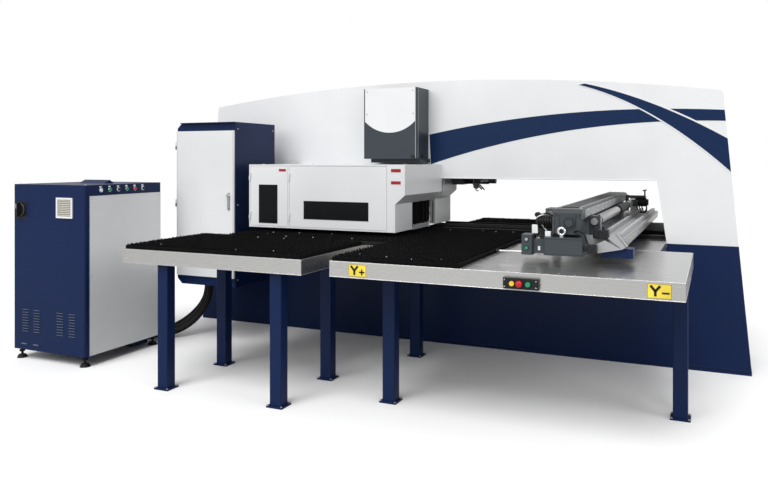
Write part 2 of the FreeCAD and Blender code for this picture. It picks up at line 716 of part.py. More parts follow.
def carriage_saddle():
    """The saddle under the bed: a truck over each rail and the outrigger block at the front."""
    x0, x1 = BED_X
    pieces = []
    for y in (-RAIL_Y, RAIL_Y):
        half = RAIL_W / 2
        truck = box(x0 + 50, x0 + 50 + SADDLE_LEN, y - half - TRUCK_OVERHANG,
                    y + half + TRUCK_OVERHANG, TABLE_Z + 8, BED_Z)
        slot = box(x0, x1, y - half - FIT, y + half + FIT, TABLE_Z, TABLE_Z + RAIL_H + FIT)
        pieces.append(truck.cut(slot))
    outrigger = box(*OUTRIGGER_X, *OUTRIGGER_Y, TABLE_Z + BRUSH_H + 4, BED_Z)
    return Part.makeCompound(pieces + [outrigger])


def beam_end_box():
    """The motor cover across the beam's front end, with an eye bolt on top."""
    y0 = BED_Y[0] - END_BOX_DEPTH
    top = END_BOX_Z[1]
    cover = soften(box(*END_BOX_X, y0, BED_Y[0], *END_BOX_Z), 10, upright)
    stem_x = END_BOX_X[0] + 93
    stem = rod(7, 14, V(stem_x, y0 + 40, top))
    eye = Part.makeTorus(19, 6, V(stem_x, y0 + 40, top + 14 + 19), V(0, 1, 0))
    return fuse([cover, stem, eye])


def hand_station_corner():
    """The hand station's lower left front corner."""
    return (END_BOX_X[0] - HAND_ARM - HAND_W, BED_Y[0] - END_BOX_DEPTH + 20, END_BOX_Z[0] - 5)


def control_box():
    """The hand station at the beam's left front corner, on an arm from the motor cover."""
    x0, y0, z0 = hand_station_corner()
    station = box(x0, x0 + HAND_W, y0, y0 + HAND_DEPTH, z0, z0 + HAND_H)
    station = soften(station, 6, upright)
    arm = box(x0 + HAND_W, END_BOX_X[0], y0 + 30, y0 + 80, END_BOX_Z[0] + 4, END_BOX_Z[1] - 17)
    wells = [rod(HAND_BUTTON_R + FIT, 12, V(x0 + HAND_W / 2, y0, z0 + rise), V(0, 1, 0))
             for rise in HAND_BUTTON_RISES]
    return fuse([station, arm]).cut(wells)


def station_button(rise):
    """A round button standing out of the hand station's front."""
    x0, y0, z0 = hand_station_corner()
    start = V(x0 + HAND_W / 2, y0 - BUTTON_TRAVEL - 3, z0 + rise)
    return rod(HAND_BUTTON_R, 16, start, V(0, 1, 0))


def station_button_white():
    return station_button(HAND_BUTTON_RISES[1])


def station_button_green():
    return station_button(HAND_BUTTON_RISES[0])


def clamp_slide():
    """The cross slide on the beam's left flank, with two clamp bodies reaching out to the sheet."""
    x1 = BEAM_X[0] - FIT
    y0 = BEAM_Y[0] + 110
    plate = box(x1 - 28, x1, y0, y0 + 480, BEAM_TOP_Z - BEAM_H - 40, BEAM_TOP_Z - 8)
    drive = box(x1 - 108, x1 - 28, y0 + 170, y0 + 320, BEAM_TOP_Z - BEAM_H, BEAM_TOP_Z - 20)
    motor = rod(34, 120, V(x1 - 68, y0 + 50, BEAM_TOP_Z - 66), V(0, 1, 0))
    pieces = [plate, drive, motor]
    for y in (y0 + 20, y0 + 380):
        end = y + CLAMP_W
        root = box(x1 - 110, x1 - 28, y, end, CLAMP_TOP_Z - 10, CLAMP_TOP_Z + 70)
        drop = box(x1 - 110, x1 - 68, y, end, SHEET_Z, CLAMP_TOP_Z - 10)
        lower = box(x1 - CLAMP_REACH, x1 - 110, y, end, SHEET_Z - 5, SHEET_Z - 1)
        heel = box(x1 - 118, x1 - 68, y, end, SHEET_Z - 5, SHEET_Z)
        pieces += [root, drop, lower, heel]
    return fuse(pieces)


def clamp_jaws():
    """The upper jaws, which swing down on to the sheet about a pin in each clamp body."""
    x1 = BEAM_X[0] - FIT
    y0 = BEAM_Y[0] + 110
    jaws = []
    for y in (y0 + 20, y0 + 380):
        root = x1 - 110 - FIT
        tip = x1 - CLAMP_REACH
        arm = side([(root, JAW_Z), (root, JAW_Z + 44), (root - 40, JAW_Z + 44),
                    (tip, JAW_Z + 18), (tip, JAW_Z)], y, y + CLAMP_W)
        jaws.append(arm)
    return Part.makeCompound(jaws)


# ---- electrical cabinet ------------------------------------------------------------------------
def electrical_cabinet():
    """A sheet cabinet with cut corners, hung on two arms from the frame's left end."""
    x0, x1 = EBOX_X
    y0, y1 = EBOX_Y
    z0, z1 = EBOX_Z
    cut = EBOX_CHAMFER
    outline = [(x0 + cut, z0), (x1, z0), (x1, z1), (x0 + cut, z1), (x0, z1 - cut), (x0, z0 + cut)]
    inner = [(x0 + cut, z0 + 4), (x1 - 4, z0 + 4), (x1 - 4, z1 - 4), (x0 + cut, z1 - 4),
             (x0 + 4, z1 - cut), (x0 + 4, z0 + cut)]
    shell = side(outline, y0, y1).cut(side(inner, y0 + 4, y1 - 4))
    doorway = box(x0 + 14, x1 - 14, y0 - 1, y0 + 5, EBOX_DOOR_Z[0] + 10, EBOX_DOOR_Z[1] - 10)
    glands = [rod(HOSE_D / 2, 10, V(x, y, z0 - 3)) for x, y in HOSE_TOPS]
    mount_plate = box(x0 + 60, x1 - 40, y1 - 40, y1 - 20, z0 + 100, z1 - 100)
    arms = [box(x0 + 120, x0 + 180, y1 - 4, -FRAME_DEPTH / 2, z, z + 80)
            for z in (z0 + 120, z1 - 320)]
    spacers = [box(x0 + 200, x0 + 240, y1 - 22, y1 - 3, z, z + 60) for z in (z0 + 200, z1 - 300)]
    halves = []
    x, y, heights = cabinet_hinge_axis()
    for z in heights:
        leaf = box(x - 2, x0, y, y0 + 25, z - HINGE_L, z - FIT)
        halves.append(hinge_fixed(x, y, z, leaf))
    return fuse([shell.cut([doorway] + glands), mount_plate] + arms + spacers + halves)


def cabinet_hinge_axis():
    """The x, y and heights of the cabinet door's hinges."""
    z0, z1 = EBOX_DOOR_Z
    return EBOX_X[0] - 3, EBOX_Y[0] - DOOR_T + 3, (z0 + 120, (z0 + z1) / 2, z1 - 120)


def cabinet_door():
    """The cabinet's front door, hinged at its left edge."""
    x0, x1 = EBOX_X
    y0 = EBOX_Y[0]
    z0, z1 = EBOX_DOOR_Z
    slab = box(x0 + 4, x1 - 4, y0 - DOOR_T, y0 - FIT, z0, z1)
    slab = soften(slab, 4, upright)
    room = box(x0 + 7, x1 - 7, y0 - DOOR_T + 3, y0, z0 + 3, z1 - 3)
    seat = box(x1 - 62, x1 - 38, y0 - DOOR_T, y0 - DOOR_T + 8, 1080, 1220)
    x, y, heights = cabinet_hinge_axis()
    halves = [hinge_moving(x, y, z, box(x, x0 + 6, y, y + 3, z, z + HINGE_L)) for z in heights]
    return fuse([slab.cut(room), seat] + halves)


def door_handle():
    """The swing handle on the door's right edge, pivoted at its top."""
    x = EBOX_X[1] - 50
    y0 = EBOX_Y[0] - DOOR_T
    lever = box(x - 9, x + 9, y0 - 14, y0 - FIT, 1092, 1200)
    return soften(lever, 5, upright).fuse(rod(13, 18, V(x, y0 - FIT - 18, 1196), V(0, 1, 0)))


# ---- power cabinet -----------------------------------------------------------------------------
def power_cabinet():
    """The free-standing cabinet's welded case, with a hood on top and its right side open."""
    x0, x1 = PBOX_X
    y0, y1 = PBOX_Y
    z0, z1 = PBOX_Z
    sheet = PBOX_SHEET
    case = soften(box(x0, x1, y0, y1, z0, z1), 14, lambda edge: upright(edge)
                  and edge.Vertexes[0].Y < y0 + 1)
    room = box(x0 + sheet, x1 - sheet, y0 + sheet, y1 - sheet, z0 + sheet, z1 - sheet)
    side_opening = box(x1 - 20, x1 + 1, y0 + 70, y1 - 40, z0 + 60, z1 - PBOX_STRIP_H - 40)
    grille_hole = box(x0 + GRILLE_X[0], x0 + GRILLE_X[1], y0 - 1, y0 + 20, *GRILLE_Z)
    switch_hole = rod(9 + FIT, 30, V(x0 + SWITCH_X, y0 - 5, SWITCH_Z), V(0, 1, 0))
    button_holes = [rod(LAMP_R + FIT, 30, V(x1 - 20, y, STRIP_Z), V(1, 0, 0)) for y in LAMP_Y]
    slots = [box(x0 + x, x0 + x + LOUVRE_W, y0 - 1, y0 + 10, z, z + 5) for x in LOUVRE_X
             for z in [LOUVRE_Z + LOUVRE_PITCH * row for row in range(LOUVRE_COUNT)]]
    hood_x = x0 + HOOD_X
    hood = prism([V(hood_x, y0 + 380, z1), V(hood_x, y0 + 440, z1 + HOOD_H),
                  V(hood_x, y0 + 480, z1)], V(HOOD_W, 0, 0))
    gland_box = box(GLAND_X[2] - 40, GLAND_X[0] + 38, HOSE_START_Y - 170, HOSE_START_Y, 18, z0)
    body = fuse([case.cut(room), hood, gland_box])
    return body.cut([side_opening, grille_hole, switch_hole] + button_holes + slots)


def power_side_panel():
    """The light panel that closes the cabinet's right side."""
    y0, y1 = PBOX_Y
    x = PBOX_X[1]
    return box(x, x + 4, y0 + 38, y1 - 2, PBOX_Z[0] + 4, PBOX_Z[1] - PBOX_STRIP_H)


def power_grille():
    """The filter grille: a frame with slanting blades."""
    y = PBOX_Y[0]
    x0, x1 = [PBOX_X[0] + offset for offset in GRILLE_X]
    z0, z1 = GRILLE_Z
    rim = GRILLE_RIM
    flange = box(x0 - rim, x1 + rim, y - 9, y, z0 - rim, z1 + rim)
    flange = flange.cut(box(x0, x1, y - 9, y, z0, z1))
    blades = [box(x0, x1, y - 6, y + 2, z, z + 5) for z in range(z0 + 4, z1 - 6, 13)]
    bars = [box(x, x + 4, y - 3, y + 2, z0, z1) for x in (x0 + 45, x1 - 49)]
    return fuse([flange] + blades + bars)


def power_feet():
    """Four levelling feet: a rubber pad, a stud and a lock nut each."""
    feet = []
    for x in (PBOX_X[0] + FOOT_INSET, PBOX_X[1] - FOOT_INSET):
        for y in (PBOX_Y[0] + FOOT_INSET, PBOX_Y[1] - FOOT_INSET):
            pad = Part.makeCone(38, 26, 22, V(x, y, 0))
            stud = rod(9, PBOX_Z[0] - 20, V(x, y, 20))
            nut = rod(20, 12, V(x, y, 46))
            feet.append(fuse([pad, stud, nut]))
    return Part.makeCompound(feet)


def main_switch():
    """The rotary isolator's knob and its shaft through the cabinet's front."""
    y = PBOX_Y[0]
    x = PBOX_X[0] + SWITCH_X
    plate = rod(SWITCH_R, 12, V(x, y - FIT - 12, SWITCH_Z), V(0, 1, 0))
    grip = box(x - 13, x + 13, y - 44, y - FIT - 12, SWITCH_Z - SWITCH_R, SWITCH_Z + SWITCH_R)
    shaft = rod(9, 20, V(x, y - FIT - 1, SWITCH_Z), V(0, 1, 0))
    return fuse([plate, grip, shaft])


def strip_cap(y, proud):
    """A lamp lens or button in the strip above the side panel."""
    x = PBOX_X[1]
    return rod(LAMP_R, 14 + proud, V(x - 10, y, STRIP_Z), V(1, 0, 0))


def indicator_lamps():
    """Three fixed lamps with bezels in the strip: the first, third and last places."""
    lamps = []
    for y in (LAMP_Y[0], LAMP_Y[2], LAMP_Y[5]):
        bezel = rod(LAMP_R + 5, 4, V(PBOX_X[1], y, STRIP_Z), V(1, 0, 0))
        lamps.append(fuse([strip_cap(y, 2), bezel]))
    return Part.makeCompound(lamps)


def power_button_start():
    return strip_cap(LAMP_Y[1], 8)


def power_button_reset():
    return strip_cap(LAMP_Y[3], 8)


def power_button_stop():
    return strip_cap(LAMP_Y[4], 8)


# ---- hoses -------------------------------------------------------------------------------------
def arc_at(before, corner, after, share):
    """The tangent arc at a corner, as (start, middle, end, radius); share is of the shorter run."""
    to_before = (before - corner).normalize()
    to_after = (after - corner).normalize()
    turn = math.pi - to_before.getAngle(to_after)
    setback = share * min((before - corner).Length, (after - corner).Length)
    radius = setback / math.tan(turn / 2)
    inward = (to_before + to_after).normalize()
    middle = corner + inward * (radius / math.cos(turn / 2) - radius)
    return corner + to_before * setback, middle, corner + to_after * setback, radius


def hose(points):
    """A round hose along straight runs joined by tangent arcs."""
    places = [V(*point) for point in points]
    edges = []
    radii = []
    here = places[0]
    for before, corner, after in zip(places, places[1:], places[2:]):
        start, middle, end, radius = arc_at(before, corner, after, 0.45)
        edges.append(Part.LineSegment(here, start).toShape())
        edges.append(Part.Arc(start, middle, end).toShape())
        radii.append(radius)
        here = end
    edges.append(Part.LineSegment(here, places[-1]).toShape())
    path = Part.Wire(edges)
    section = Part.Wire([Part.makeCircle(HOSE_D / 2, places[0], places[1] - places[0])])
    tube = path.makePipeShell([section], True, True)
    share = tube.Volume / (math.pi * HOSE_D ** 2 / 4 * path.Length)
    print("hose length", round(path.Length), "least radius", round(min(radii)),
          "volume over section times length", round(share, 4))
    return tube


def hose_front():
    return hose(HOSE_FRONT)


def hose_middle():
    return hose(HOSE_MIDDLE)


def hose_rear():
    return hose(HOSE_REAR)


# ---- table controls ----------------------------------------------------------------------------
def button_panel():
    """The three-button panel on the centre table's apron."""
    y = TABLE_FRONT_Y
    z0 = TABLE_Z - APRON_H + PANEL_RISE
    panel = soften(box(PANEL_X, PANEL_X + PANEL_W, y - PANEL_T, y, z0, z0 + PANEL_H), 4,
                   lambda edge: upright(edge) and edge.Vertexes[0].Y < y - PANEL_T + 1)
    wells = [rod(BUTTON_R + FIT, 16, V(x, y - PANEL_T, z0 + PANEL_H / 2), V(0, 1, 0))
             for x in BUTTON_X]
    return panel.cut(wells)


def table_button(x, cap_radius, proud):
    """A push button: a stem in the panel and a cap in front of it."""
    y = TABLE_FRONT_Y - PANEL_T - BUTTON_TRAVEL - 1
    z = TABLE_Z - APRON_H + PANEL_RISE + PANEL_H / 2
    stem = rod(BUTTON_R, 8 + BUTTON_TRAVEL + 1, V(x, y, z), V(0, 1, 0))
    cap = rod(cap_radius, proud, V(x, y - proud, z), V(0, 1, 0))
    return fuse([stem, cap])


def button_yellow():
    return table_button(BUTTON_X[0], 13, 6)


def button_red():
    return table_button(BUTTON_X[1], 18, 10)


def button_green():
    return table_button(BUTTON_X[2], 13, 6)


def axis_plates():
    """The two direction plates riveted to the apron."""
    y = TABLE_FRONT_Y
    z0 = TABLE_Z - APRON_H + 9
    return Part.makeCompound([box(x, x + AXIS_PLATE_W, y - 2, y, z0, z0 + AXIS_PLATE_H)
                              for x in AXIS_PLATE_X])


# ---- values worked out from the driving dimensions ---------------------------------------------
STRIP_Z = PBOX_Z[1] - PBOX_STRIP_H / 2
LAMP_Y = [PBOX_Y[0] + 150 + LAMP_PITCH * place for place in range(6)]
BUTTON_X = [PANEL_X + PANEL_W * share for share in (0.263, 0.471, 0.717)]
HOSE_START_Y = PBOX_Y[1] - 60
HOSE_FRONT = [(-1815, -1329, 47), (-1815, -1229, 47), (-1786, -1134, 42), (-1730, -1051, 46),
              (-1662, -983, 84), (-1600, -921, 150), (-1554, -875, 238), (-1524, -843, 342),
              (-1524, -843, 463)]
HOSE_MIDDLE = [(-1880, -1329, 47), (-1880, -1227, 47), (-1850, -1126, 42), (-1792, -1037, 46),
               (-1720, -963, 86), (-1653, -895, 152), (-1603, -845, 240), (-1570, -811, 344),
               (-1570, -811, 463)]
HOSE_REAR = [(-1945, -1329, 47), (-1945, -1224, 47), (-1914, -1118, 42), (-1854, -1022, 46),
             (-1776, -944, 88), (-1702, -874, 152), (-1640, -814, 240), (-1606, -776, 346),
             (-1606, -776, 463)]
HOSE_TOPS = [route[-1][:2] for route in (HOSE_FRONT, HOSE_MIDDLE, HOSE_REAR)]
GLAND_X = [route[0][0] for route in (HOSE_FRONT, HOSE_MIDDLE, HOSE_REAR)]

PIECES = [press_frame, frame_base_plate, upper_turret, lower_turret, punch_holders, die_holders,
          turret_shafts, ram_guide, ram, ram_drive, index_motor, turret_cover, cover_door_left,
          cover_door_middle, cover_side_block, rear_turret_cover, ram_housing, ram_front_panel,
          overhead_unit, left_table, centre_table, rear_table, left_brush, centre_brush,
          rear_brush, throat_deck, carriage_rails, cable_trough, table_legs, beam, beam_bed,
          beam_screw, carriage_saddle, beam_end_box, control_box, station_button_white,
          station_button_green, clamp_slide, clamp_jaws, electrical_cabinet, cabinet_door,
          door_handle, power_cabinet, power_side_panel, power_grille, power_feet, main_switch,
          indicator_lamps, power_button_start, power_button_reset, power_button_stop,
          hose_front, hose_middle, hose_rear, button_panel, button_yellow, button_red,
          button_green, axis_plates]

os.makedirs("parts", exist_ok=True)
for piece in PIECES:
    shape = piece()
    if not shape.isValid():
        print("not valid:", piece.__name__)
    shape.exportStep("parts/" + piece.__name__ + ".step")
    print(piece.__name__, len(shape.Solids), round(shape.Volume / 1e6, 2), "litres")
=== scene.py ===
"""Looks of the CNC turret punch press: camera, studio, finishes and fine detail."""
import math
import random

import bmesh
import bpy
from mathutils import Matrix, Vector


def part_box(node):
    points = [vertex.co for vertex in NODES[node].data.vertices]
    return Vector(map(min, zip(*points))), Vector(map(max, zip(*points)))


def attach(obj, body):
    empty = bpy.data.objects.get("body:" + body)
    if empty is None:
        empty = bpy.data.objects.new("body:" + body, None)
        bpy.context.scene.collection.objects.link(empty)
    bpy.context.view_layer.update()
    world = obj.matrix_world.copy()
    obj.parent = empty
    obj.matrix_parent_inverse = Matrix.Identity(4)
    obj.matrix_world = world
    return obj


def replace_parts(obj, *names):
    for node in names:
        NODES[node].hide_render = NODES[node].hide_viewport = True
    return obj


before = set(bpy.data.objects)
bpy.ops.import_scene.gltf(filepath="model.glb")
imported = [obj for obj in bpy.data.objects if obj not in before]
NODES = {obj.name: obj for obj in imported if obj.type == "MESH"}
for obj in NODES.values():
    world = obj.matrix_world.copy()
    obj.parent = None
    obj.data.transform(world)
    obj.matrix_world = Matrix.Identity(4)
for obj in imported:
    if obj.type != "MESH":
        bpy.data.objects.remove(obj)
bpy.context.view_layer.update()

UP = (0, 0, 1)
TO_FRONT = (0, -1, 0)
TO_BACK = (0, 1, 0)
TO_RIGHT = (1, 0, 0)
random.seed(7)

# ---- camera ------------------------------------------------------------------------------------
CAMERA_PLACE = (2.400, -5.980, 1.486)
CAMERA_TURN = 24.2          # degrees to the left of straight through the throat
CAMERA_LENS = 34.74
CAMERA_DROP = -0.105        # keeps uprights vertical with the horizon above the middle


def make_camera():
    data = bpy.data.cameras.new("camera")
    data.lens = CAMERA_LENS
    data.shift_y = CAMERA_DROP
    data.clip_end = 100
    camera = bpy.data.objects.new("camera", data)
    camera.location = CAMERA_PLACE
    camera.rotation_euler = (math.radians(90), 0, math.radians(CAMERA_TURN))
    bpy.context.scene.collection.objects.link(camera)
    bpy.context.scene.camera = camera


make_camera()


# ---- node materials ----------------------------------------------------------------------------
class Look:
    """A material under construction, with short calls for the nodes that it needs."""

    def __init__(self, name, color, rough=0.5, metal=0.0):
        self.material = bpy.data.materials.new(name)
        self.material.use_nodes = True
        self.tree = self.material.node_tree
        self.shader = self.tree.nodes["Principled BSDF"]
        self.shader.inputs["Base Color"].default_value = (*color, 1)
        self.shader.inputs["Roughness"].default_value = rough
        self.shader.inputs["Metallic"].default_value = metal
        self.place = self.node("ShaderNodeTexCoord").outputs["Object"]
        self.normal = None

    def node(self, kind, **settings):
        made = self.tree.nodes.new(kind)
        for key, value in settings.items():
            setattr(made, key, value)
        return made

    def join(self, start, end):
        self.tree.links.new(start, end)

    def noise(self, scale, detail=3.0, stretch=(1, 1, 1)):
        """Noise over the object's own place, squeezed by stretch."""
        mapping = self.node("ShaderNodeMapping")
        mapping.inputs["Scale"].default_value = stretch
        self.join(self.place, mapping.inputs["Vector"])
        made = self.node("ShaderNodeTexNoise")
        made.inputs["Scale"].default_value = scale
        made.inputs["Detail"].default_value = detail
        self.join(mapping.outputs["Vector"], made.inputs["Vector"])
        return made.outputs["Fac"]

    def ramp(self, value, low, high, start=0.3, end=0.7):
        """A colour ramp from low to high between two stops."""
        made = self.node("ShaderNodeValToRGB")
        made.color_ramp.elements[0].position = start
        made.color_ramp.elements[1].position = end
        made.color_ramp.elements[0].color = (*low, 1)
        made.color_ramp.elements[1].color = (*high, 1)
        self.join(value, made.inputs["Fac"])
        return made.outputs["Color"]

    def color(self, value, low, high, start=0.3, end=0.7):
        self.join(self.ramp(value, low, high, start, end), self.shader.inputs["Base Color"])

    def rough(self, value, low, high):
        made = self.node("ShaderNodeMapRange")
        made.inputs["To Min"].default_value = low
        made.inputs["To Max"].default_value = high
        self.join(value, made.inputs["Value"])
        self.join(made.outputs["Result"], self.shader.inputs["Roughness"])

    def round_edges(self, radius=0.002):
        """Softens the look of sharp CAD edges by radius metres."""
        made = self.node("ShaderNodeBevel", samples=4)
        made.inputs["Radius"].default_value = radius
        self.normal = made.outputs["Normal"]
        self.join(self.normal, self.shader.inputs["Normal"])

    def bump(self, value, strength, distance=0.001):
        made = self.node("ShaderNodeBump")
        made.inputs["Strength"].default_value = strength
        made.inputs["Distance"].default_value = distance
        self.join(value, made.inputs["Height"])
        if self.normal:
            self.join(self.normal, made.inputs["Normal"])
        self.normal = made.outputs["Normal"]
        self.join(self.normal, self.shader.inputs["Normal"])


def shade(color, factor):
    return tuple(channel * factor for channel in color)


def painted(name, color, rough=0.38, gloss=0.5):
    """Stove enamel: slight orange peel, and faint unevenness in tone and gloss."""
    look = Look(name, color, rough)
    look.round_edges(0.002)
    look.color(look.noise(1.6, 4), shade(color, 0.94), shade(color, 1.04))
    look.rough(look.noise(3.5, 4), rough - 0.07, rough + 0.08)
    look.bump(look.noise(420, 2), 0.06, 0.0004)
    look.shader.inputs["Specular IOR Level"].default_value = gloss
    look.shader.inputs["Coat Weight"].default_value = gloss / 2
    look.shader.inputs["Coat Roughness"].default_value = 0.2
    return look.material


def brushed(name, color, stretch, rough=0.3, edge=0.001):
    """Rolled or ground metal with fine lines along the axis whose stretch is least."""
    look = Look(name, color, rough, 1.0)
    look.round_edges(edge)
    lines = look.noise(60, 6, stretch)
    look.color(lines, shade(color, 0.89), shade(color, 1.06), 0.25, 0.75)
    look.rough(look.noise(9, 5, stretch), rough - 0.1, rough + 0.16)
    look.bump(lines, 0.06, 0.0003)
    return look.material


def moulded(name, color, rough=0.45, grain=900, strength=0.15, gloss=0.5):
    """Moulded plastic or rubber with a fine grain."""
    look = Look(name, color, rough)
    look.shader.inputs["Specular IOR Level"].default_value = gloss
    look.round_edges(0.0008)
    look.color(look.noise(12, 3), shade(color, 0.88), shade(color, 1.12))
    look.bump(look.noise(grain, 2), strength, 0.0004)
    return look.material


def brush_over_sheet(name, switch_z):
    """Stainless sheet up to the height switch_z, and black bristle above it."""
    look = Look(name, BRISTLE, 0.9)
    above = look.node("ShaderNodeMath", operation="GREATER_THAN")
    above.inputs[1].default_value = switch_z
    split = look.node("ShaderNodeSeparateXYZ")
    look.join(look.place, split.inputs["Vector"])
    look.join(split.outputs["Z"], above.inputs[0])
    look.color(above.outputs["Value"], STAINLESS, BRISTLE, 0.4, 0.6)
    look.rough(above.outputs["Value"], 0.3, 0.9)
    metal = look.node("ShaderNodeMath", operation="SUBTRACT")
    metal.inputs[0].default_value = 1.0
    look.join(above.outputs["Value"], metal.inputs[1])
    look.join(metal.outputs["Value"], look.shader.inputs["Metallic"])
    look.shader.inputs["Specular IOR Level"].default_value = 0.1
    look.bump(look.noise(300, 2), 0.3, 0.001)
    return look.material


NAVY = (0.0046, 0.0155, 0.064)
WHITE = (0.73, 0.74, 0.752)
SLATE = (0.042, 0.051, 0.060)
STAINLESS = (0.66, 0.655, 0.64)
BRISTLE = (0.0030, 0.0032, 0.0035)

MAT = {
    "white": painted("white_enamel", WHITE, 0.36),
    "navy": painted("navy_enamel", NAVY, 0.36, 0.14),
    "stripe": painted("stripe_enamel", (0.0060, 0.0210, 0.072), 0.40, 0.12),
    "slate": painted("slate_enamel", SLATE, 0.42, 0.3),
    "housing": painted("housing_enamel", (0.030, 0.040, 0.050), 0.42, 0.3),
    "grey": painted("grey_enamel", (0.070, 0.076, 0.082), 0.40, 0.35),
    "light_grey": painted("light_grey_enamel", (0.34, 0.35, 0.36), 0.42),
    # Painted highlight: a lighter blue for the light caught on the louvre lips; the key slots take
    # the same tone.
    "louvre": painted("louvre_edge_painted_highlight", (0.10, 0.13, 0.20), 0.40),
    "beige": painted("beige_slat", (0.40, 0.375, 0.31), 0.50),
    "stainless": brushed("stainless_sheet", STAINLESS, (0.4, 30, 30), 0.25),
    "bright": brushed("bright_edge", (0.86, 0.86, 0.85), (0.4, 30, 30), 0.16),
    "steel": brushed("ground_steel", (0.58, 0.58, 0.57), (12, 0.5, 12), 0.28),
    "turned": brushed("turned_steel", (0.62, 0.61, 0.59), (3, 3, 40), 0.26),
    "bristle": moulded("bristle", BRISTLE, 0.92, gloss=0.1),
    "throat": brush_over_sheet("brush_over_deck", 0.902),
    # Black for dark steel parts, and painted shade on the carriage rails, which are steel but sit
    # in shaded slots.
    "dark_steel_and_shade": moulded("black_steel_and_painted_shade", (0.014, 0.014, 0.015), 0.5, gloss=0.15),
    "black": moulded("black_plastic", (0.010, 0.011, 0.012), 0.42, gloss=0.3),
    "rubber": moulded("black_rubber", (0.007, 0.007, 0.008), 0.55, 500, 0.3, 0.2),
    "glass": moulded("dark_window", (0.005, 0.006, 0.007), 0.25, 40, 0.01, 0.15),
    "yellow": moulded("yellow_plastic", (0.82, 0.55, 0.03), 0.32),
    "sign": moulded("sign_yellow", (0.86, 0.66, 0.06), 0.40),
    "red": moulded("red_plastic", (0.55, 0.012, 0.010), 0.30),
    "red_plate": moulded("red_plate", (0.36, 0.022, 0.026), 0.45, gloss=0.2),
    "green": moulded("green_plastic", (0.010, 0.26, 0.12), 0.30),
    "lamp": moulded("white_lens", (0.80, 0.82, 0.83), 0.20),
    "wire": moulded("yellow_green_wire", (0.55, 0.62, 0.05), 0.45),
}


FINISHES = {
    "white": ("press_frame", "turret_cover", "cover_door_left", "cover_door_middle",
              "cover_side_block", "rear_turret_cover", "ram_front_panel", "cabinet_door",
              "power_side_panel", "power_grille"),
    "navy": ("frame_base_plate", "table_legs", "electrical_cabinet", "power_cabinet",
             "carriage_saddle"),
    "slate": ("beam_end_box", "control_box", "index_motor", "ram_drive"),
    "housing": ("ram_housing",),
    "grey": ("clamp_slide", "beam", "overhead_unit"),
    "light_grey": ("beam_bed", "cable_trough", "station_button_white"),
    "stainless": ("left_table", "centre_table", "rear_table"),
    "throat": ("throat_deck",),
    # Painted shade: the steel rails take black for the shade of their slots.
    "dark_steel_and_shade": ("carriage_rails",),
    "bristle": ("left_brush", "centre_brush", "rear_brush"),
    "turned": ("upper_turret", "lower_turret", "punch_holders", "die_holders",
               "turret_shafts", "ram", "ram_guide"),
    "steel": ("beam_screw", "clamp_jaws", "door_handle"),
    "black": ("button_panel", "main_switch"),
    "rubber": ("power_feet",),
    "lamp": ("indicator_lamps",),
    "sign": ("axis_plates",),
    "yellow": ("button_yellow",),
    "red": ("button_red", "power_button_stop"),
    "green": ("button_green", "power_button_start", "power_button_reset",
              "station_button_green"),
}


def finish_nodes():
    """Gives the CAD nodes their finishes, without touching their meshes."""
    for look, names in FINISHES.items():
        for name in names:
            slots = NODES[name].data.materials
            slots.clear()
            slots.append(MAT[look])


finish_nodes()


def put(name, data, look, body="machine"):
    """Links a mesh or curve with its finish and lets it ride on a body."""
    piece = bpy.data.objects.new(name, data)
    bpy.context.scene.collection.objects.link(piece)
    data.materials.append(MAT[look])
    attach(piece, body)
    return piece


def from_bmesh(name, work, look, body="machine", smooth=False):
    data = bpy.data.meshes.new(name)
    bmesh.ops.recalc_face_normals(work, faces=work.faces)
    work.to_mesh(data)
    work.free()
    if smooth:
        data.shade_smooth()
    return put(name, data, look, body)


def add_block(work, low, high, bevel=0.0):
    """Adds a block between two corners to a bmesh, its edges rounded by bevel."""
    size = [high[k] - low[k] for k in range(3)]
    middle = [(high[k] + low[k]) / 2 for k in range(3)]
    matrix = Matrix.Translation(middle) @ Matrix.Diagonal((*size, 1))
    made = bmesh.ops.create_cube(work, size=1, matrix=matrix)
    if bevel:
        edges = {edge for vertex in made["verts"] for edge in vertex.link_edges}
        bmesh.ops.bevel(work, geom=list(edges), offset=bevel, segments=2, profile=0.5,
                        affect="EDGES", clamp_overlap=True)


def add_rod(work, start, end, radius, sides=20, end_radius=None):
    """Adds a closed round bar from start to end."""
    start, end = Vector(start), Vector(end)
    along = end - start
    matrix = (Matrix.Translation((start + end) / 2)
              @ Vector(UP).rotation_difference(along).to_matrix().to_4x4())
    bmesh.ops.create_cone(work, cap_ends=True, segments=sides, radius1=radius,
                          radius2=radius if end_radius is None else end_radius,
                          depth=along.length, matrix=matrix)


def add_sheet(work, outline, depth):
    """Adds a flat sheet from a 3-D outline, extruded by the vector depth."""
    face = work.faces.new([work.verts.new(point) for point in outline])
    made = bmesh.ops.extrude_face_region(work, geom=[face])
    moved = [item for item in made["geom"] if isinstance(item, bmesh.types.BMVert)]
    bmesh.ops.translate(work, verts=moved, vec=depth)


def blocks(name, corners, look, body="machine", bevel=0.001):
    """One piece from several blocks."""
    work = bmesh.new()
    for low, high in corners:
        add_block(work, low, high, bevel)
    return from_bmesh(name, work, look, body)


def rods(name, bars, look, body="machine", sides=20):
    """One piece from several round bars, each (start, end, radius)."""
    work = bmesh.new()
    for start, end, radius in bars:
        add_rod(work, start, end, radius, sides)
    return from_bmesh(name, work, look, body)


def add_ring(work, centre, axis, radius, thickness, sides=28, tube_sides=10):
    """Adds a closed ring of round section about an axis."""
    turn = Vector(UP).rotation_difference(Vector(axis)).to_matrix()
    rows = []
    for step in range(sides):
        angle = 2 * math.pi * step / sides
        row = []
        for tube_step in range(tube_sides):
            around = 2 * math.pi * tube_step / tube_sides
            reach = radius + thickness * math.cos(around)
            local = Vector((reach * math.cos(angle), reach * math.sin(angle),
                            thickness * math.sin(around)))
            row.append(work.verts.new(Vector(centre) + turn @ local))
        rows.append(row)
    for row, after in zip(rows, rows[1:] + rows[:1]):
        for k in range(tube_sides):
            following = (k + 1) % tube_sides
            work.faces.new((row[k], after[k], after[following], row[following]))


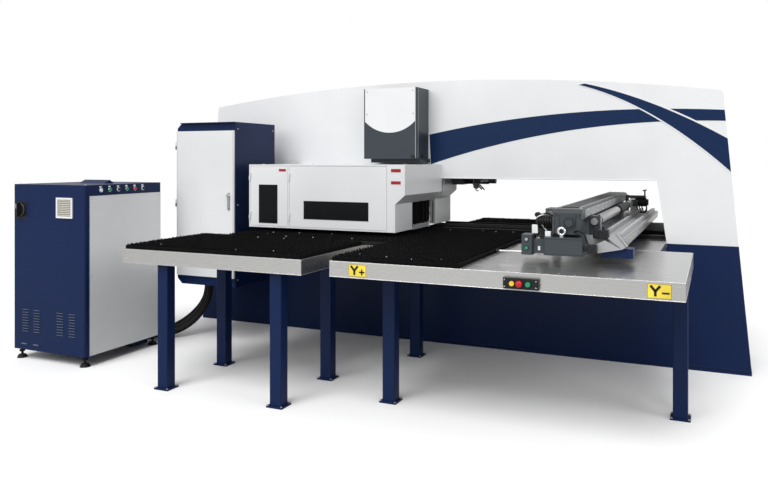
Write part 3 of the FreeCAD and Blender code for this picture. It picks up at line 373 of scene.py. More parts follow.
def rings(name, places, axis, radius, thickness, look, body="machine"):
    """One piece from several equal rings."""
    work = bmesh.new()
    for place in places:
        add_ring(work, place, axis, radius, thickness)
    return from_bmesh(name, work, look, body, smooth=True)


def screws(name, places, outward, radius, look, body="machine"):
    """Socket screws: a domed head on each place, with its socket as a darker dimple."""
    work = bmesh.new()
    outward = Vector(outward)
    for place in places:
        seat = Vector(place)
        add_rod(work, seat, seat + outward * radius * 0.7, radius, 16, radius * 0.82)
        add_ring(work, seat + outward * radius * 0.7, outward, radius * 0.42, radius * 0.16, 12, 6)
    return from_bmesh(name, work, look, body)


def hex_bolts(name, places, outward, radius, look, body="machine"):
    """Hexagon heads on round washers."""
    work = bmesh.new()
    outward = Vector(outward)
    for place in places:
        seat = Vector(place)
        add_rod(work, seat, seat + outward * radius * 0.2, radius * 1.35, 20)
        add_rod(work, seat + outward * radius * 0.2, seat + outward * radius, radius, 6)
    return from_bmesh(name, work, look, body)


def picture_frame(name, x_range, z_range, y_range, width, look, body="machine"):
    """Four bars round an upright rectangle that faces the front."""
    (x0, x1), (z0, z1), (y0, y1) = x_range, z_range, y_range
    bars = [((x0 - width, y0, z0 - width), (x1 + width, y1, z0)),
            ((x0 - width, y0, z1), (x1 + width, y1, z1 + width)),
            ((x0 - width, y0, z0), (x0, y1, z1)), ((x1, y0, z0), (x1 + width, y1, z1))]
    return blocks(name, bars, look, body, 0.0008)


def cable(name, points, radius, look, body="machine"):
    """A short clipped lead along a smooth curve."""
    data = bpy.data.curves.new(name, "CURVE")
    data.dimensions = "3D"
    data.bevel_depth = radius
    data.bevel_resolution = 3
    data.use_fill_caps = True
    spline = data.splines.new("NURBS")
    spline.points.add(len(points) - 1)
    for point, place in zip(spline.points, points):
        point.co = (*place, 1)
    spline.order_u = 3
    spline.use_endpoint_u = True
    return put(name, data, look, body)


# ---- hoses -------------------------------------------------------------------------------------
HOSE_D = 0.045
HOSES = {
    "hose_front": (
        [(-1.815, -1.329, 0.047), (-1.815, -1.229, 0.047), (-1.786, -1.134, 0.042),
         (-1.730, -1.051, 0.046), (-1.662, -0.983, 0.084), (-1.600, -0.921, 0.150),
         (-1.554, -0.875, 0.238), (-1.524, -0.843, 0.342), (-1.524, -0.843, 0.463)], 0.851),
    "hose_middle": (
        [(-1.880, -1.329, 0.047), (-1.880, -1.227, 0.047), (-1.850, -1.126, 0.042),
         (-1.792, -1.037, 0.046), (-1.720, -0.963, 0.086), (-1.653, -0.895, 0.152),
         (-1.603, -0.845, 0.240), (-1.570, -0.811, 0.344), (-1.570, -0.811, 0.463)], 0.881),
    "hose_rear": (
        [(-1.945, -1.329, 0.047), (-1.945, -1.224, 0.047), (-1.914, -1.118, 0.042),
         (-1.854, -1.022, 0.046), (-1.776, -0.944, 0.088), (-1.702, -0.874, 0.152),
         (-1.640, -0.814, 0.240), (-1.606, -0.776, 0.346), (-1.606, -0.776, 0.463)], 0.919),
}


def make_hoses():
    for name, (points, length) in HOSES.items():
        piece = cable(name + "_line", points, HOSE_D / 2, "rubber")
        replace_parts(piece, name)


make_hoses()

# ---- bridge frame's paint ----------------------------------------------------------------------
FRAME_LOW, FRAME_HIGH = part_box("press_frame")
FRONT_Y = FRAME_LOW.y
BACK_Y = FRAME_HIGH.y
SKIN = 0.0012               # paint fields stand this far proud, to keep crisp edges
NAVY_TOP_Z = 0.884
SHOULDER_Z = 1.967
THROAT_TOP_Z = 1.335
THROAT_LEFT_X = -1.060
THROAT_RIGHT_X = 2.075
FRAME_MID_X = (FRAME_LOW.x + FRAME_HIGH.x) / 2
HALF_FOOT = (FRAME_HIGH.x - FRAME_LOW.x) / 2
HALF_TOP = 2.133


def frame_end_x(z, hand=1):
    """Where the frame's leaning end stands at height z: hand is 1 right and -1 left."""
    share = (z - FRAME_LOW.z) / (SHOULDER_Z - FRAME_LOW.z)
    return FRAME_MID_X + hand * (HALF_FOOT + (HALF_TOP - HALF_FOOT) * share)


def front_sheet(work, outline, y=None, towards=-1):
    """Adds a thin paint field on the frame's face from (x, z) points."""
    at = FRONT_Y if y is None else y
    add_sheet(work, [(x, at, z) for x, z in outline], (0, towards * SKIN, 0))


def navy_base():
    """The dark lower part of the frame, on its faces and its leaning ends."""
    work = bmesh.new()
    low, high = FRAME_LOW.z, 0.860
    trapezoid = [(frame_end_x(low, -1), low), (frame_end_x(low), low),
                 (frame_end_x(NAVY_TOP_Z), NAVY_TOP_Z), (THROAT_RIGHT_X - 0.003, NAVY_TOP_Z),
                 (THROAT_RIGHT_X, high), (THROAT_LEFT_X, high), (THROAT_LEFT_X, NAVY_TOP_Z),
                 (frame_end_x(NAVY_TOP_Z, -1), NAVY_TOP_Z)]
    front_sheet(work, trapezoid)
    front_sheet(work, trapezoid, BACK_Y, 1)
    for hand in (-1, 1):
        bottom = frame_end_x(low, hand)
        top = frame_end_x(NAVY_TOP_Z, hand)
        end = [(bottom, FRONT_Y - SKIN, low), (bottom, BACK_Y + SKIN, low),
               (top, BACK_Y + SKIN, NAVY_TOP_Z), (top, FRONT_Y - SKIN, NAVY_TOP_Z)]
        add_sheet(work, end, (hand * SKIN, 0, 0))
    from_bmesh("frame_navy_base", work, "navy")


def arc_height(x, left, middle, right):
    """Height at x on the parabola through three (x, z) points."""
    (x0, z0), (x1, z1), (x2, z2) = left, middle, right
    return (z0 * (x - x1) * (x - x2) / ((x0 - x1) * (x0 - x2))
            + z1 * (x - x0) * (x - x2) / ((x1 - x0) * (x1 - x2))
            + z2 * (x - x0) * (x - x1) / ((x2 - x0) * (x2 - x1)))


STRIPE_STEPS = 36


def band(top, bottom, name, look="stripe", proud=SKIN):
    """A curved paint band between two parabolas, each given by three (x, z) points."""
    work = bmesh.new()
    rims = []
    for shift in (0, -proud):
        for edge in (top, bottom):
            x0, x1 = edge[0][0], edge[2][0]
            row = []
            for step in range(STRIPE_STEPS + 1):
                x = x0 + (x1 - x0) * step / STRIPE_STEPS
                row.append(work.verts.new((x, FRONT_Y + shift, arc_height(x, *edge))))
            rims.append(row)
    back_top, back_low, face_top, face_low = rims
    for i in range(STRIPE_STEPS):
        for a, b in ((back_top, back_low), (face_low, face_top), (face_top, back_top),
                     (back_low, face_low)):
            work.faces.new((a[i], a[i + 1], b[i + 1], b[i]))
    for i in (0, STRIPE_STEPS):
        work.faces.new((back_top[i], back_low[i], face_low[i], face_top[i]))
    from_bmesh(name, work, look)


def stripes():
    """Two sweeping bands that cross on the frame's right shoulder."""
    band([(0.263, 1.688), (1.465, 1.840), (frame_end_x(1.830), 1.830)],
         [(0.275, 1.4465), (1.465, 1.714), (frame_end_x(1.754), 1.754)],
         "stripe_sweep")
    high_end = frame_end_x(1.631)
    low_end = frame_end_x(1.399)
    band([(1.490, 2.062), (2.061, 1.862), (high_end, 1.643)],
         [(1.445, 2.042), (2.057, 1.742), (low_end, 1.387)],
         "stripe_diagonal_border", "white", 1.4 * SKIN)
    band([(1.500, 2.052), (2.061, 1.850), (high_end, 1.631)],
         [(1.455, 2.044), (2.057, 1.754), (low_end, 1.399)],
         "stripe_diagonal", "stripe", 1.8 * SKIN)


navy_base()
stripes()


# ---- brush tables ------------------------------------------------------------------------------
TUFT_PITCH = 0.020
TUFT_R = 0.0052
TABLE_Z = 0.900


def tuft_ok(x, y, low, high, holes):
    inside = low.x < x < high.x and low.y < y < high.y
    return inside and not any(a < x < b and c < y < d for a, b, c, d in holes)


def brush_bed(node, holes=()):
    """Bristle tufts in rows, in place of the CAD block."""
    low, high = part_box(node)
    verts = []
    faces = []
    for row in range(int((high.y - low.y) / TUFT_PITCH)):
        for column in range(int((high.x - low.x) / TUFT_PITCH)):
            x = low.x + (column + 0.5 + 0.5 * (row % 2)) * TUFT_PITCH
            y = low.y + (row + 0.5) * TUFT_PITCH
            if tuft_ok(x, y, low, high, holes):
                add_tuft(verts, faces, x, y, high.z)
    data = bpy.data.meshes.new(node + "_tufts")
    data.from_pydata(verts, [], faces)
    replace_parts(put(node + "_tufts", data, "bristle"), node)


def add_tuft(verts, faces, x, y, top):
    """One bristle tuft: a five-sided bundle that flares and leans a little."""
    first = len(verts)
    lean = [random.uniform(-0.003, 0.003) for _ in range(2)]
    tip = top - random.uniform(0, 0.004)
    turn = random.uniform(0, 1)
    for radius, z, shift in ((TUFT_R * 0.7, TABLE_Z, 0), (TUFT_R * 1.25, tip, 1)):
        for side in range(5):
            angle = (side + turn) * 2 * math.pi / 5
            verts.append((x + radius * math.cos(angle) + lean[0] * shift,
                          y + radius * math.sin(angle) + lean[1] * shift, z))
    for side in range(5):
        after = (side + 1) % 5
        faces.append((first + side, first + after, first + 5 + after, first + 5 + side))
    faces.append(tuple(first + 5 + side for side in range(5)))
    faces.append(tuple(first + side for side in reversed(range(5))))


centre_low, centre_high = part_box("centre_brush")
LEFT_NOTCH = (centre_low.x - 1, 0.357 + 0.014, centre_low.y - 1, -1.412 + 0.014)
REAR_NOTCH = (centre_low.x - 1, 0.180 + 0.014, -0.600 - 0.014, centre_high.y + 1)
brush_bed("left_brush")
brush_bed("rear_brush")
brush_bed("centre_brush", [LEFT_NOTCH, REAR_NOTCH])
MAT_TOP_Z = 0.923           # the woven mat that the tufts stand out of
blocks("brush_mats", [((-1.146, -2.233, TABLE_Z), (0.181, -1.423, MAT_TOP_Z)),
                      ((0.368, -2.193, TABLE_Z), (1.139, -0.331, MAT_TOP_Z)),
                      ((-0.946, -1.401, TABLE_Z), (0.368, -0.611, MAT_TOP_Z)),
                      ((0.191, -0.611, TABLE_Z), (0.368, -0.331, MAT_TOP_Z)),
                      ((0.368, 0.331, TABLE_Z), (1.139, 0.879, MAT_TOP_Z))],
       "bristle", bevel=0.002)
RAIL_Y = 0.200
blocks("lane_strips", [((0.196, rail + low_side, TABLE_Z), (1.139, rail + high_side, 0.9055))
                       for rail in (-RAIL_Y, RAIL_Y)
                       for low_side, high_side in ((-0.0615, -0.0275), (0.0275, 0.0615))],
       "bristle")


# ---- turret covers -----------------------------------------------------------------------------
COVER_FACE_Y = -1.097
PLATE_PROUD = 0.0015
PANES = {"cover_door_left": ((-0.861, -0.701), (0.996, 1.285)),
         "cover_door_middle": ((-0.458, 0.076), (1.038, 1.166))}


def red_plate(name, x_range, z_range, body="machine"):
    """A plain red plate on the cover's front face."""
    (x0, x1), (z0, z1) = x_range, z_range
    corners = ((x0, COVER_FACE_Y - PLATE_PROUD, z0), (x1, COVER_FACE_Y, z1))
    blocks(name, [corners], "red_plate", body, 0.0006)


def cover_details():
    """Panes with gaskets, plain red plates, edge trims, and black sheets that paint the shade in
    the room behind.
    """
    for door, (across, up) in PANES.items():
        (x0, x1), (z0, z1) = across, up
        blocks(door + "_pane", [((x0, COVER_FACE_Y - 0.0012, z0), (x1, COVER_FACE_Y + 0.0038, z1))],
               "glass", door, 0.0004)
        picture_frame(door + "_gasket", across, up, (COVER_FACE_Y - 0.0025, COVER_FACE_Y), 0.005,
                      "rubber", door)
    red_plate("door_red_plate", (-0.683, -0.621), (1.393, 1.412), "cover_door_left")
    red_plate("cover_red_plate_upper", (0.261, 0.337), (1.393, 1.417))
    red_plate("cover_red_plate_lower", (0.261, 0.337), (1.306, 1.329))
    # Painted shade: thin black sheets inside the hood stand for the shade of its dark interior.
    blocks("cover_painted_shade", [((-0.943, -1.070, 1.430), (0.255, -0.322, 1.433)),
                           ((-0.944, -1.070, 0.990), (-0.941, -0.322, 1.430)),
                           ((-0.940, -0.330, 1.130), (0.190, -0.323, 1.300))],
           "rubber", bevel=0.0005)
    blocks("side_opening_trim", [((0.289, y, 0.975), (0.295, y + 0.006, 1.150))
                                 for y in (-0.772, -0.324)], "rubber", bevel=0.0005)
    strips = [((0.258 + 0.003 * (k % 2), -0.790 + 0.052 * k, 0.986),
               (0.261 + 0.003 * (k % 2), -0.736 + 0.052 * k, 1.225)) for k in range(9)]
    blocks("side_opening_curtain", strips, "bristle", bevel=0.0005)
    screws("cover_top_screws", [(x, y, 1.446) for x in (-0.90, -0.45, 0.0, 0.32)
                                for y in (-0.98, -0.40)], UP, 0.007, "steel")
    screws("side_block_screws", [(0.369, y, z) for y in (-0.24, -0.03) for z in (1.245, 1.29)],
           TO_RIGHT, 0.006, "steel")


def guide_details():
    """The guide bar across the side opening, with its bolts and hanging posts."""
    blocks("sheet_guide", [((0.268, -0.740, 0.946), (0.276, -0.372, 0.981))], "light_grey",
           bevel=0.003)
    hex_bolts("sheet_guide_bolts", [(0.272, y, 0.981) for y in (-0.700, -0.610, -0.560)],
              UP, 0.006, "steel")
    rods("sheet_guide_posts", [((0.272, y, 0.981), (0.272, y, 1.200), 0.004)
                               for y in (-0.480, -0.410)], "dark_steel_and_shade")


cover_details()
guide_details()


# ---- ram housing and the air unit --------------------------------------------------------------
def housing_details():
    """Screws, painted highlight strips along the edges, and a lock on the ram housing."""
    low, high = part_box("ram_front_panel")
    face = low.y
    screws("ram_panel_screws", [(x, face, z) for x in (low.x + 0.018, high.x - 0.018)
                                for z in (1.850, 2.030)], TO_FRONT, 0.006, "steel")
    side = 0.258
    # Painted highlight: light grey strips down the housing's front and side edges.
    blocks("ram_housing_painted_highlight", [((side - 0.017, -0.5815, 1.500), (side - 0.012, -0.579, 2.045)),
                                ((side, -0.565, 1.500), (side + 0.0015, -0.560, 2.045))],
           "light_grey", bevel=0.0005)
    blocks("ram_housing_latch", [((0.206, -0.586, 1.497), (0.236, -0.579, 1.520)),
                                 ((side, -0.50, 1.497), (side + 0.006, -0.46, 1.525))],
           "black")
    blocks("ram_housing_louvres", [((side, -0.52, z), (side + 0.004, -0.38, z + 0.006))
                                   for z in (1.60, 1.62, 1.64, 1.66, 1.68, 1.70)],
           "slate")


def air_unit_details():
    """The regulator, its bowl, end sleeve, elbow and drain lever."""
    axis_z = THROAT_TOP_Z - 0.028
    rods("air_regulator", [((0.468, 0, axis_z), (0.540, 0, axis_z), 0.0275)], "black")
    rods("air_sleeve", [((0.612, 0, axis_z), (0.672, 0, axis_z), 0.0278)], "bright")
    work = bmesh.new()
    add_rod(work, (0.560, 0, axis_z - 0.020), (0.560, 0, axis_z - 0.056), 0.030, 28, 0.024)
    add_rod(work, (0.560, 0, axis_z - 0.056), (0.560, 0, axis_z - 0.068), 0.024, 28, 0.010)
    from_bmesh("air_bowl", work, "light_grey", smooth=True)
    cable("air_drain", [(0.555, 0, axis_z - 0.066), (0.556, 0, axis_z - 0.078),
                        (0.566, 0, axis_z - 0.083), (0.580, 0, axis_z - 0.083)], 0.0045, "lamp")
    rods("air_lever", [((0.590, -0.004, axis_z - 0.032), (0.632, -0.004, axis_z - 0.074), 0.0055)],
         "black")
    rings("air_unit_rings", [(x, 0, axis_z) for x in (0.545, 0.606)], TO_RIGHT, 0.027, 0.0025,
          "steel")
    blocks("side_block_pocket", [((0.300, -0.2735, 1.287), (0.355, -0.272, 1.320))], "grey",
           bevel=0.0005)


housing_details()
air_unit_details()


# ---- tables ------------------------------------------------------------------------------------
TABLE_EDGES = {"left_table": ((-1.157, 0.192), -2.244), "centre_table": ((0.357, 2.265), -2.204)}
LIP_HEIGHTS = ((0.8965, 0.9012), (0.8090, 0.8122))
AXIS_PLATES = ((0.481, "plus"), (2.092, "minus"))


def hem_details():
    """The rolled lips of the aprons, their rivets, and the joint between two brush fields."""
    for table, ((x0, x1), y) in TABLE_EDGES.items():
        front = [((x0, y - 0.0015, low), (x1, y + 0.004, high)) for low, high in LIP_HEIGHTS]
        end = [((x1 - 0.004, y, low), (x1 + 0.0015, y + 0.80, high)) for low, high in LIP_HEIGHTS]
        blocks(table + "_lips", front + end, "bright")
        screws(table + "_rivets", [(x, y, z) for x in (x0 + 0.03, x1 - 0.03)
                                   for z in (0.835, 0.878)], TO_FRONT, 0.004, "steel")
    blocks("left_table_end_lip", [((-1.1585, -2.244, 0.8965), (-1.153, -1.412, 0.9012))],
           "bright")
    blocks("field_joint", [((-0.957, -1.4145, 0.900), (0.357, -1.4095, 0.9240))], "dark_steel_and_shade")


def axis_marks():
    """The axis letter and its sign on each yellow plate, and the plate's border."""
    for left, sign in AXIS_PLATES:
        work = bmesh.new()
        y = -2.206
        middle, foot, top = left + 0.038, 0.829, 0.880
        fork = 0.853
        for start, end in (((middle, foot), (middle, fork)),
                           ((middle, fork), (middle - 0.022, top)),
                           ((middle, fork), (middle + 0.022, top))):
            add_stroke(work, start, end, y, 0.012)
        across = left + 0.085
        add_stroke(work, (across - 0.017, 0.846), (across + 0.017, 0.846), y, 0.008)
        if sign == "plus":
            add_stroke(work, (across, 0.829), (across, 0.863), y, 0.008)
        from_bmesh("axis_mark_" + sign, work, "black")
        picture_frame("axis_border_" + sign, (left + 0.003, left + 0.109), (0.821, 0.887),
                      (y - 0.0008, y + 0.001), 0.002, "grey")


def add_stroke(work, start, end, y, width):
    """Adds one raised stroke of a mark between two (x, z) points on the face at y."""
    (x0, z0), (x1, z1) = start, end
    along = Vector((x1 - x0, 0, z1 - z0))
    across = along.normalized().cross(Vector(TO_BACK)) * width / 2
    outline = [Vector((x0, y, z0)) - across, Vector((x0, y, z0)) + across,
               Vector((x1, y, z1)) + across, Vector((x1, y, z1)) - across]
    add_sheet(work, outline, (0, -0.0012, 0))


def panel_details():
    """Bezels, corner screws and the red button's dome on the three-button panel."""
    face = -2.230
    x0, x1, z = 1.388, 1.573, 0.8475
    places = [x0 + (x1 - x0) * share for share in (0.263, 0.471, 0.717)]
    work = bmesh.new()
    for x, radius in zip(places, (0.0160, 0.0212, 0.0160)):
        add_ring(work, (x, face - 0.001, z), TO_BACK, radius, 0.0018)
    from_bmesh("panel_bezels", work, "black", smooth=True)
    screws("panel_screws", [(x, face, z + dz) for x in (x0 + 0.009, x1 - 0.012)
                            for dz in (-0.017, 0.017)], TO_FRONT, 0.0032, "bright")
    work = bmesh.new()
    add_rod(work, (places[1], face - 0.0165, z), (places[1], face - 0.0205, z), 0.0185, 32, 0.010)
    from_bmesh("button_red_dome", work, "red", "button_red", True)


SCREW_COLUMNS = 4


def brush_screws():
    """Small bright screw heads that hold the brush strips."""
    spots = []
    for x0, x1, y0, y1 in ((-1.09, 0.13, -2.17, -1.49), (0.45, 1.08, -2.12, -0.42),
                           (-0.85, 0.20, -1.33, -1.15)):
        for k in range(SCREW_COLUMNS):
            for y in (y0, y1):
                x = x0 + (x1 - x0) * (k + 0.5) / SCREW_COLUMNS + random.uniform(-0.06, 0.06)
                spots.append((x, y + random.uniform(-0.05, 0.05), 0.929))
    screws("brush_strip_screws", spots, UP, 0.0050, "steel")


def deck_details():
    """Plate joints, countersunk screws and the stop strips of the bare deck."""
    blocks("deck_joints", [((1.140, -2.200, 0.9000), (1.143, -0.960, 0.9012)),
                           ((1.700, -2.200, 0.9000), (1.702, -0.330, 0.9008)),
                           ((1.143, -0.962, 0.9000), (2.262, -0.959, 0.9010))],
           "steel", bevel=0.0003)
    screws("deck_screws", [(x, y, 0.9000) for x in (1.18, 1.42, 1.66, 1.74, 1.98, 2.22)
                           for y in (-2.15, -1.60, -1.02)], UP, 0.0035, "steel")
    blocks("deck_stop_strips", [((1.960, -0.30, 0.900), (2.050, -0.27, 0.906)),
                                ((1.960, 0.27, 0.900), (2.050, 0.30, 0.906))],
           "black")


LEG_PLACES = ((-0.865, -2.166), (-0.865, -1.545), (-0.010, -2.166), (-0.010, -1.545),
              (0.571, -1.807), (0.322, -0.755), (2.209, -1.403), (0.450, 0.830),
              (1.300, 0.830), (2.010, 0.830))


def foot_bolts():
    """A levelling bolt at each corner of the legs' foot plates, and a collar at each top."""
    reach = 0.047
    places = [(x + dx, y + dy, 0.010) for x, y in LEG_PLACES for dx in (-reach, reach)
              for dy in (-reach, reach)]
    hex_bolts("foot_plate_bolts", places, UP, 0.006, "steel")
    collars = [((x - 0.048, y - 0.048, 0.884), (x + 0.048, y + 0.048, 0.8955))
               for x, y in LEG_PLACES]
    blocks("leg_collars", collars, "navy")


hem_details()
axis_marks()
panel_details()
brush_screws()
deck_details()
foot_bolts()


# ---- carriage ----------------------------------------------------------------------------------
def beam_details():
    """The end plate with its bearing cap, the sliding cover band and the side strip."""
    x0, x1, top = 1.553, 1.705, 1.206
    front = -1.730
    blocks("beam_end_plate", [((x0 + 0.006, front - 0.014, 1.060), (x1 - 0.006, front, 1.184)),
                              ((x0 + 0.030, front - 0.018, 1.074), (x0 + 0.034, front, 1.178)),
                              ((x1 - 0.030, front - 0.018, 1.074), (x1 - 0.026, front, 1.178))],
           "slate", "carriage", 0.002)
    cap = (1.641, front - 0.014, 1.128)
    rods("beam_bearing_cap", [(cap, (cap[0], cap[1] - 0.012, cap[2]), 0.033),
                              ((cap[0], cap[1] - 0.012, cap[2]),
                               (cap[0], cap[1] - 0.020, cap[2]), 0.020)],
         "slate", "carriage", 32)
    rings("beam_cap_rings", [(cap[0], cap[1] - 0.012, cap[2])], TO_BACK, 0.027, 0.002, "black",
          "carriage")
    hex_bolts("beam_plate_bolts", [(x, front - 0.014, z) for x in (x0 + 0.018, x1 - 0.018)
                                   for z in (1.072, 1.172)], TO_FRONT, 0.0045, "slate",
              "carriage")
    blocks("beam_cover_band", [((x0 + 0.026, -1.62, top), (x1 - 0.026, 0.545, top + 0.004))],
           "black", "carriage")
    blocks("beam_band_rims", [((x0 + 0.016, -1.66, top), (x0 + 0.024, 0.550, top + 0.006)),
                              ((x1 - 0.024, -1.66, top), (x1 - 0.016, 0.550, top + 0.006))],
           "light_grey", "carriage")
    blocks("beam_side_strip", [((x1, -1.60, 1.150), (x1 + 0.003, 0.550, 1.198))], "light_grey",
           "carriage", 0.0008)
    screws("beam_side_screws", [(x1 + 0.003, -1.5 + 0.2 * k, z) for k in range(11)
                                for z in (1.158, 1.190)], TO_RIGHT, 0.005, "steel", "carriage")
    hex_bolts("beam_top_bolts", [(x, y, top) for x in (x0 + 0.008, x1 - 0.004)
                                 for y in (-1.735, -1.700)], UP, 0.005, "steel",
              "carriage")


SCREW_AXIS = (1.741, 1.120)         # x and z


def bed_details():
    """Rail screws, the folded guard, the screw's bright tube and drive, and the limit block."""
    rail_top = 1.064
    screws("bed_rail_screws", [(x, -1.58 + 0.08 * k, rail_top) for x in (1.803, 1.897)
                               for k in range(30)], UP, 0.0055, "steel", "carriage")
    work = bmesh.new()
    y = -1.722
    add_sheet(work, [(1.788, y, 0.961), (1.782, y, 1.011), (1.831, y, 1.036), (1.850, y, 1.026),
                     (1.922, y, 0.988)], (0, 0.003, 0))
    add_sheet(work, [(1.847, y, 1.048), (1.890, y, 1.072), (1.948, y, 1.003), (1.922, y, 0.988)],
              (0, 0.003, 0))
    add_sheet(work, [(1.890, y, 1.072), (1.948, y, 1.003), (1.948, y + 0.075, 1.003),
                     (1.890, y + 0.075, 1.072)], (-0.002, 0, -0.002))
    from_bmesh("bed_guard", work, "light_grey", "carriage")
    blocks("bed_limit_block", [((1.764, -1.705, 1.042), (1.846, -1.640, 1.092)),
                               ((1.772, -1.712, 1.050), (1.794, -1.705, 1.106)),
                               ((1.812, -1.690, 1.092), (1.826, -1.650, 1.112))],
           "black", "carriage", 0.003)
    x, z = SCREW_AXIS
    rods("screw_drive", [((x, -0.400, z), (x, -0.100, z), 0.036),
                         ((x, -0.100, z), (x, 0.200, z), 0.031)], "black", "carriage", 28)
    rings("screw_tube_rings", [(x, y, z) for y in (-1.360, -0.440, -0.420)], TO_BACK, 0.0295,
          0.002, "dark_steel_and_shade", "carriage")
    rods("screw_tube_sleeve", [((x, -1.392, z), (x, -0.405, z), 0.0290)], "bright", "carriage",
         32)
    blocks("screw_bearing_plate", [((x - 0.033, -1.477, 1.042), (x + 0.033, -1.4705, 1.153))],
           "slate", "carriage", 0.002)
    hex_bolts("bracket_bolts", [(x + shift, y, 1.152) for shift in (-0.022, 0.022)
                                for y in (-1.450, 0.820)], UP, 0.006, "slate", "carriage")
    blocks("bed_edge_strip", [((1.930, -1.640, 1.000), (1.9335, 0.850, 1.032))], "stainless",
           "carriage")


def end_box_details():
    """Seams, the eye bolt, the sensors and the leads round the motor cover."""
    front = -1.800
    blocks("end_box_seams", [((1.512, front - 0.0012, 1.0385), (1.717, front, 1.0400)),
                             ((1.512, front - 0.0012, 0.9530), (1.717, front, 0.9545))],
           "black", "carriage", 0.0003)
    rings("end_box_eye", [(1.600, -1.760, 1.080)], TO_BACK, 0.0195, 0.0072, "bright",
          "carriage")
    rods("end_box_eye_foot", [((1.600, -1.760, 1.047), (1.600, -1.760, 1.064), 0.012)], "bright",
         "carriage")
    blocks("sensor_blocks", [((1.421, -1.712, 1.058), (1.455, -1.690, 1.108)),
                             ((1.505, -1.750, 1.047), (1.537, -1.722, 1.076)),
                             ((1.466, -1.757, 0.966), (1.480, -1.752, 0.990))],
           "lamp", "carriage", 0.002)
    blocks("sensor_posts", [((1.432, -1.706, 1.046), (1.444, -1.696, 1.060)),
                            ((1.544, -1.748, 1.047), (1.556, -1.728, 1.066)),
                            ((1.450, -1.714, 1.040), (1.530, -1.690, 1.048)),
                            ((1.746, -1.790, 0.962), (1.792, -1.710, 1.010)),
                            ((1.722, -1.780, 0.975), (1.746, -1.720, 1.000))],
           "black", "carriage", 0.002)
    cable("end_box_lead", [(1.668, -1.748, 1.078), (1.690, -1.775, 1.088), (1.722, -1.780, 1.080),
                           (1.738, -1.780, 1.050), (1.746, -1.775, 1.015),
                           (1.762, -1.765, 0.990)], 0.0045, "rubber", "carriage")
    rings("hand_station_bezels", [(1.406, -1.7808, z) for z in (0.980, 1.030)], TO_BACK,
          0.0118, 0.0016, "black", "carriage")
    rods("sheet_stop_rod", [((1.225, -1.725, 0.950), (1.3755, -1.725, 0.953), 0.005)], "steel",
         "carriage")
    rods("sheet_stop_tip", [((1.215, -1.725, 0.950), (1.232, -1.725, 0.950), 0.009)], "black",
         "carriage")


def lead_bundle():
    """The coiled leads and the small motor beside the beam's end."""
    turns, sides = 6, 8
    for strand, (radius, lift) in enumerate(((0.034, 0.0), (0.026, 0.012))):
        points = []
        for step in range(turns * sides + 1):
            angle = 2 * math.pi * step / sides
            x = 1.452 + 0.092 * step / (turns * sides)
            points.append((x, -1.690 + radius * math.cos(angle),
                           1.122 + lift + radius * math.sin(angle)))
        cable("coiled_lead_" + str(strand), points, 0.0036, "rubber", "carriage")
    rods("beam_side_motor", [((1.444, -1.690, 1.130), (1.552, -1.690, 1.130), 0.023),
                             ((1.446, -1.690, 1.165), (1.446, -1.650, 1.165), 0.014)],
         "black", "carriage")
    blocks("lead_bracket", [((1.540, -1.720, 1.060), (1.5535, -1.650, 1.160)),
                            ((1.444, -1.650, 1.085), (1.553, -1.640, 1.170))],
           "grey", "carriage", 0.002)
    for k in range(4):
        shift = 0.013 * k
        cable("bundle_lead_" + str(k), [(1.548, -1.700 + shift, 1.155), (1.520, -1.715, 1.180),
                                        (1.480 - shift, -1.705, 1.172 - shift / 2),
                                        (1.458, -1.700, 1.130), (1.462 + shift, -1.700, 1.080),
                                        (1.480 + shift, -1.705, 1.050)],
              0.003, "lamp" if k == 3 else "rubber", "carriage")


def far_end_details():
    """The drive motor, its bracket and its leads at the beam's far end."""
    blocks("far_motor_bracket", [((1.705, 0.470, 1.060), (1.725, 0.560, 1.190)),
                                 ((1.725, 0.500, 1.165), (1.860, 0.560, 1.185)),
                                 ((1.745, 0.490, 1.095), (1.800, 0.555, 1.150))],
           "grey", "carriage", 0.003)
    rods("far_motor", [((1.780, 0.530, 1.130), (1.865, 0.530, 1.130), 0.036),
                       ((1.865, 0.530, 1.130), (1.880, 0.530, 1.130), 0.026),
                       ((1.852, 0.530, 1.165), (1.852, 0.530, 1.232), 0.006),
                       ((1.836, 0.530, 1.226), (1.868, 0.530, 1.232), 0.005)],
         "black", "carriage", 24)
    for k in range(3):
        shift = 0.02 * k
        cable("far_lead_" + str(k), [(1.790 + shift, 0.500, 1.100), (1.800 + shift, 0.470, 1.060),
                                     (1.845 + shift / 2, 0.470, 1.040), (1.872, 0.480, 1.075),
                                     (1.868, 0.500, 1.110)], 0.005, "rubber", "carriage")


def trough_details():
    """The yellow-green leads and the black chain links in the cable trough."""
    for k in range(4):
        y = 0.345 + 0.018 * k
        points = []
        for step in range(9):
            points.append((1.750 + 0.034 * step, y + 0.006 * math.sin(2.1 * step + k),
                           0.930 + 0.010 * k + 0.018 * math.sin(1.7 * step + 2 * k)))
        cable("trough_lead_" + str(k), points, 0.0045, "wire")
    links = [((1.760 + 0.030 * k, 0.402, 0.906), (1.784 + 0.030 * k, 0.420, 0.945))
             for k in range(9)]
    blocks("trough_chain_links", links, "black", bevel=0.003)


beam_details()
bed_details()
end_box_details()
lead_bundle()
far_end_details()
trough_details()


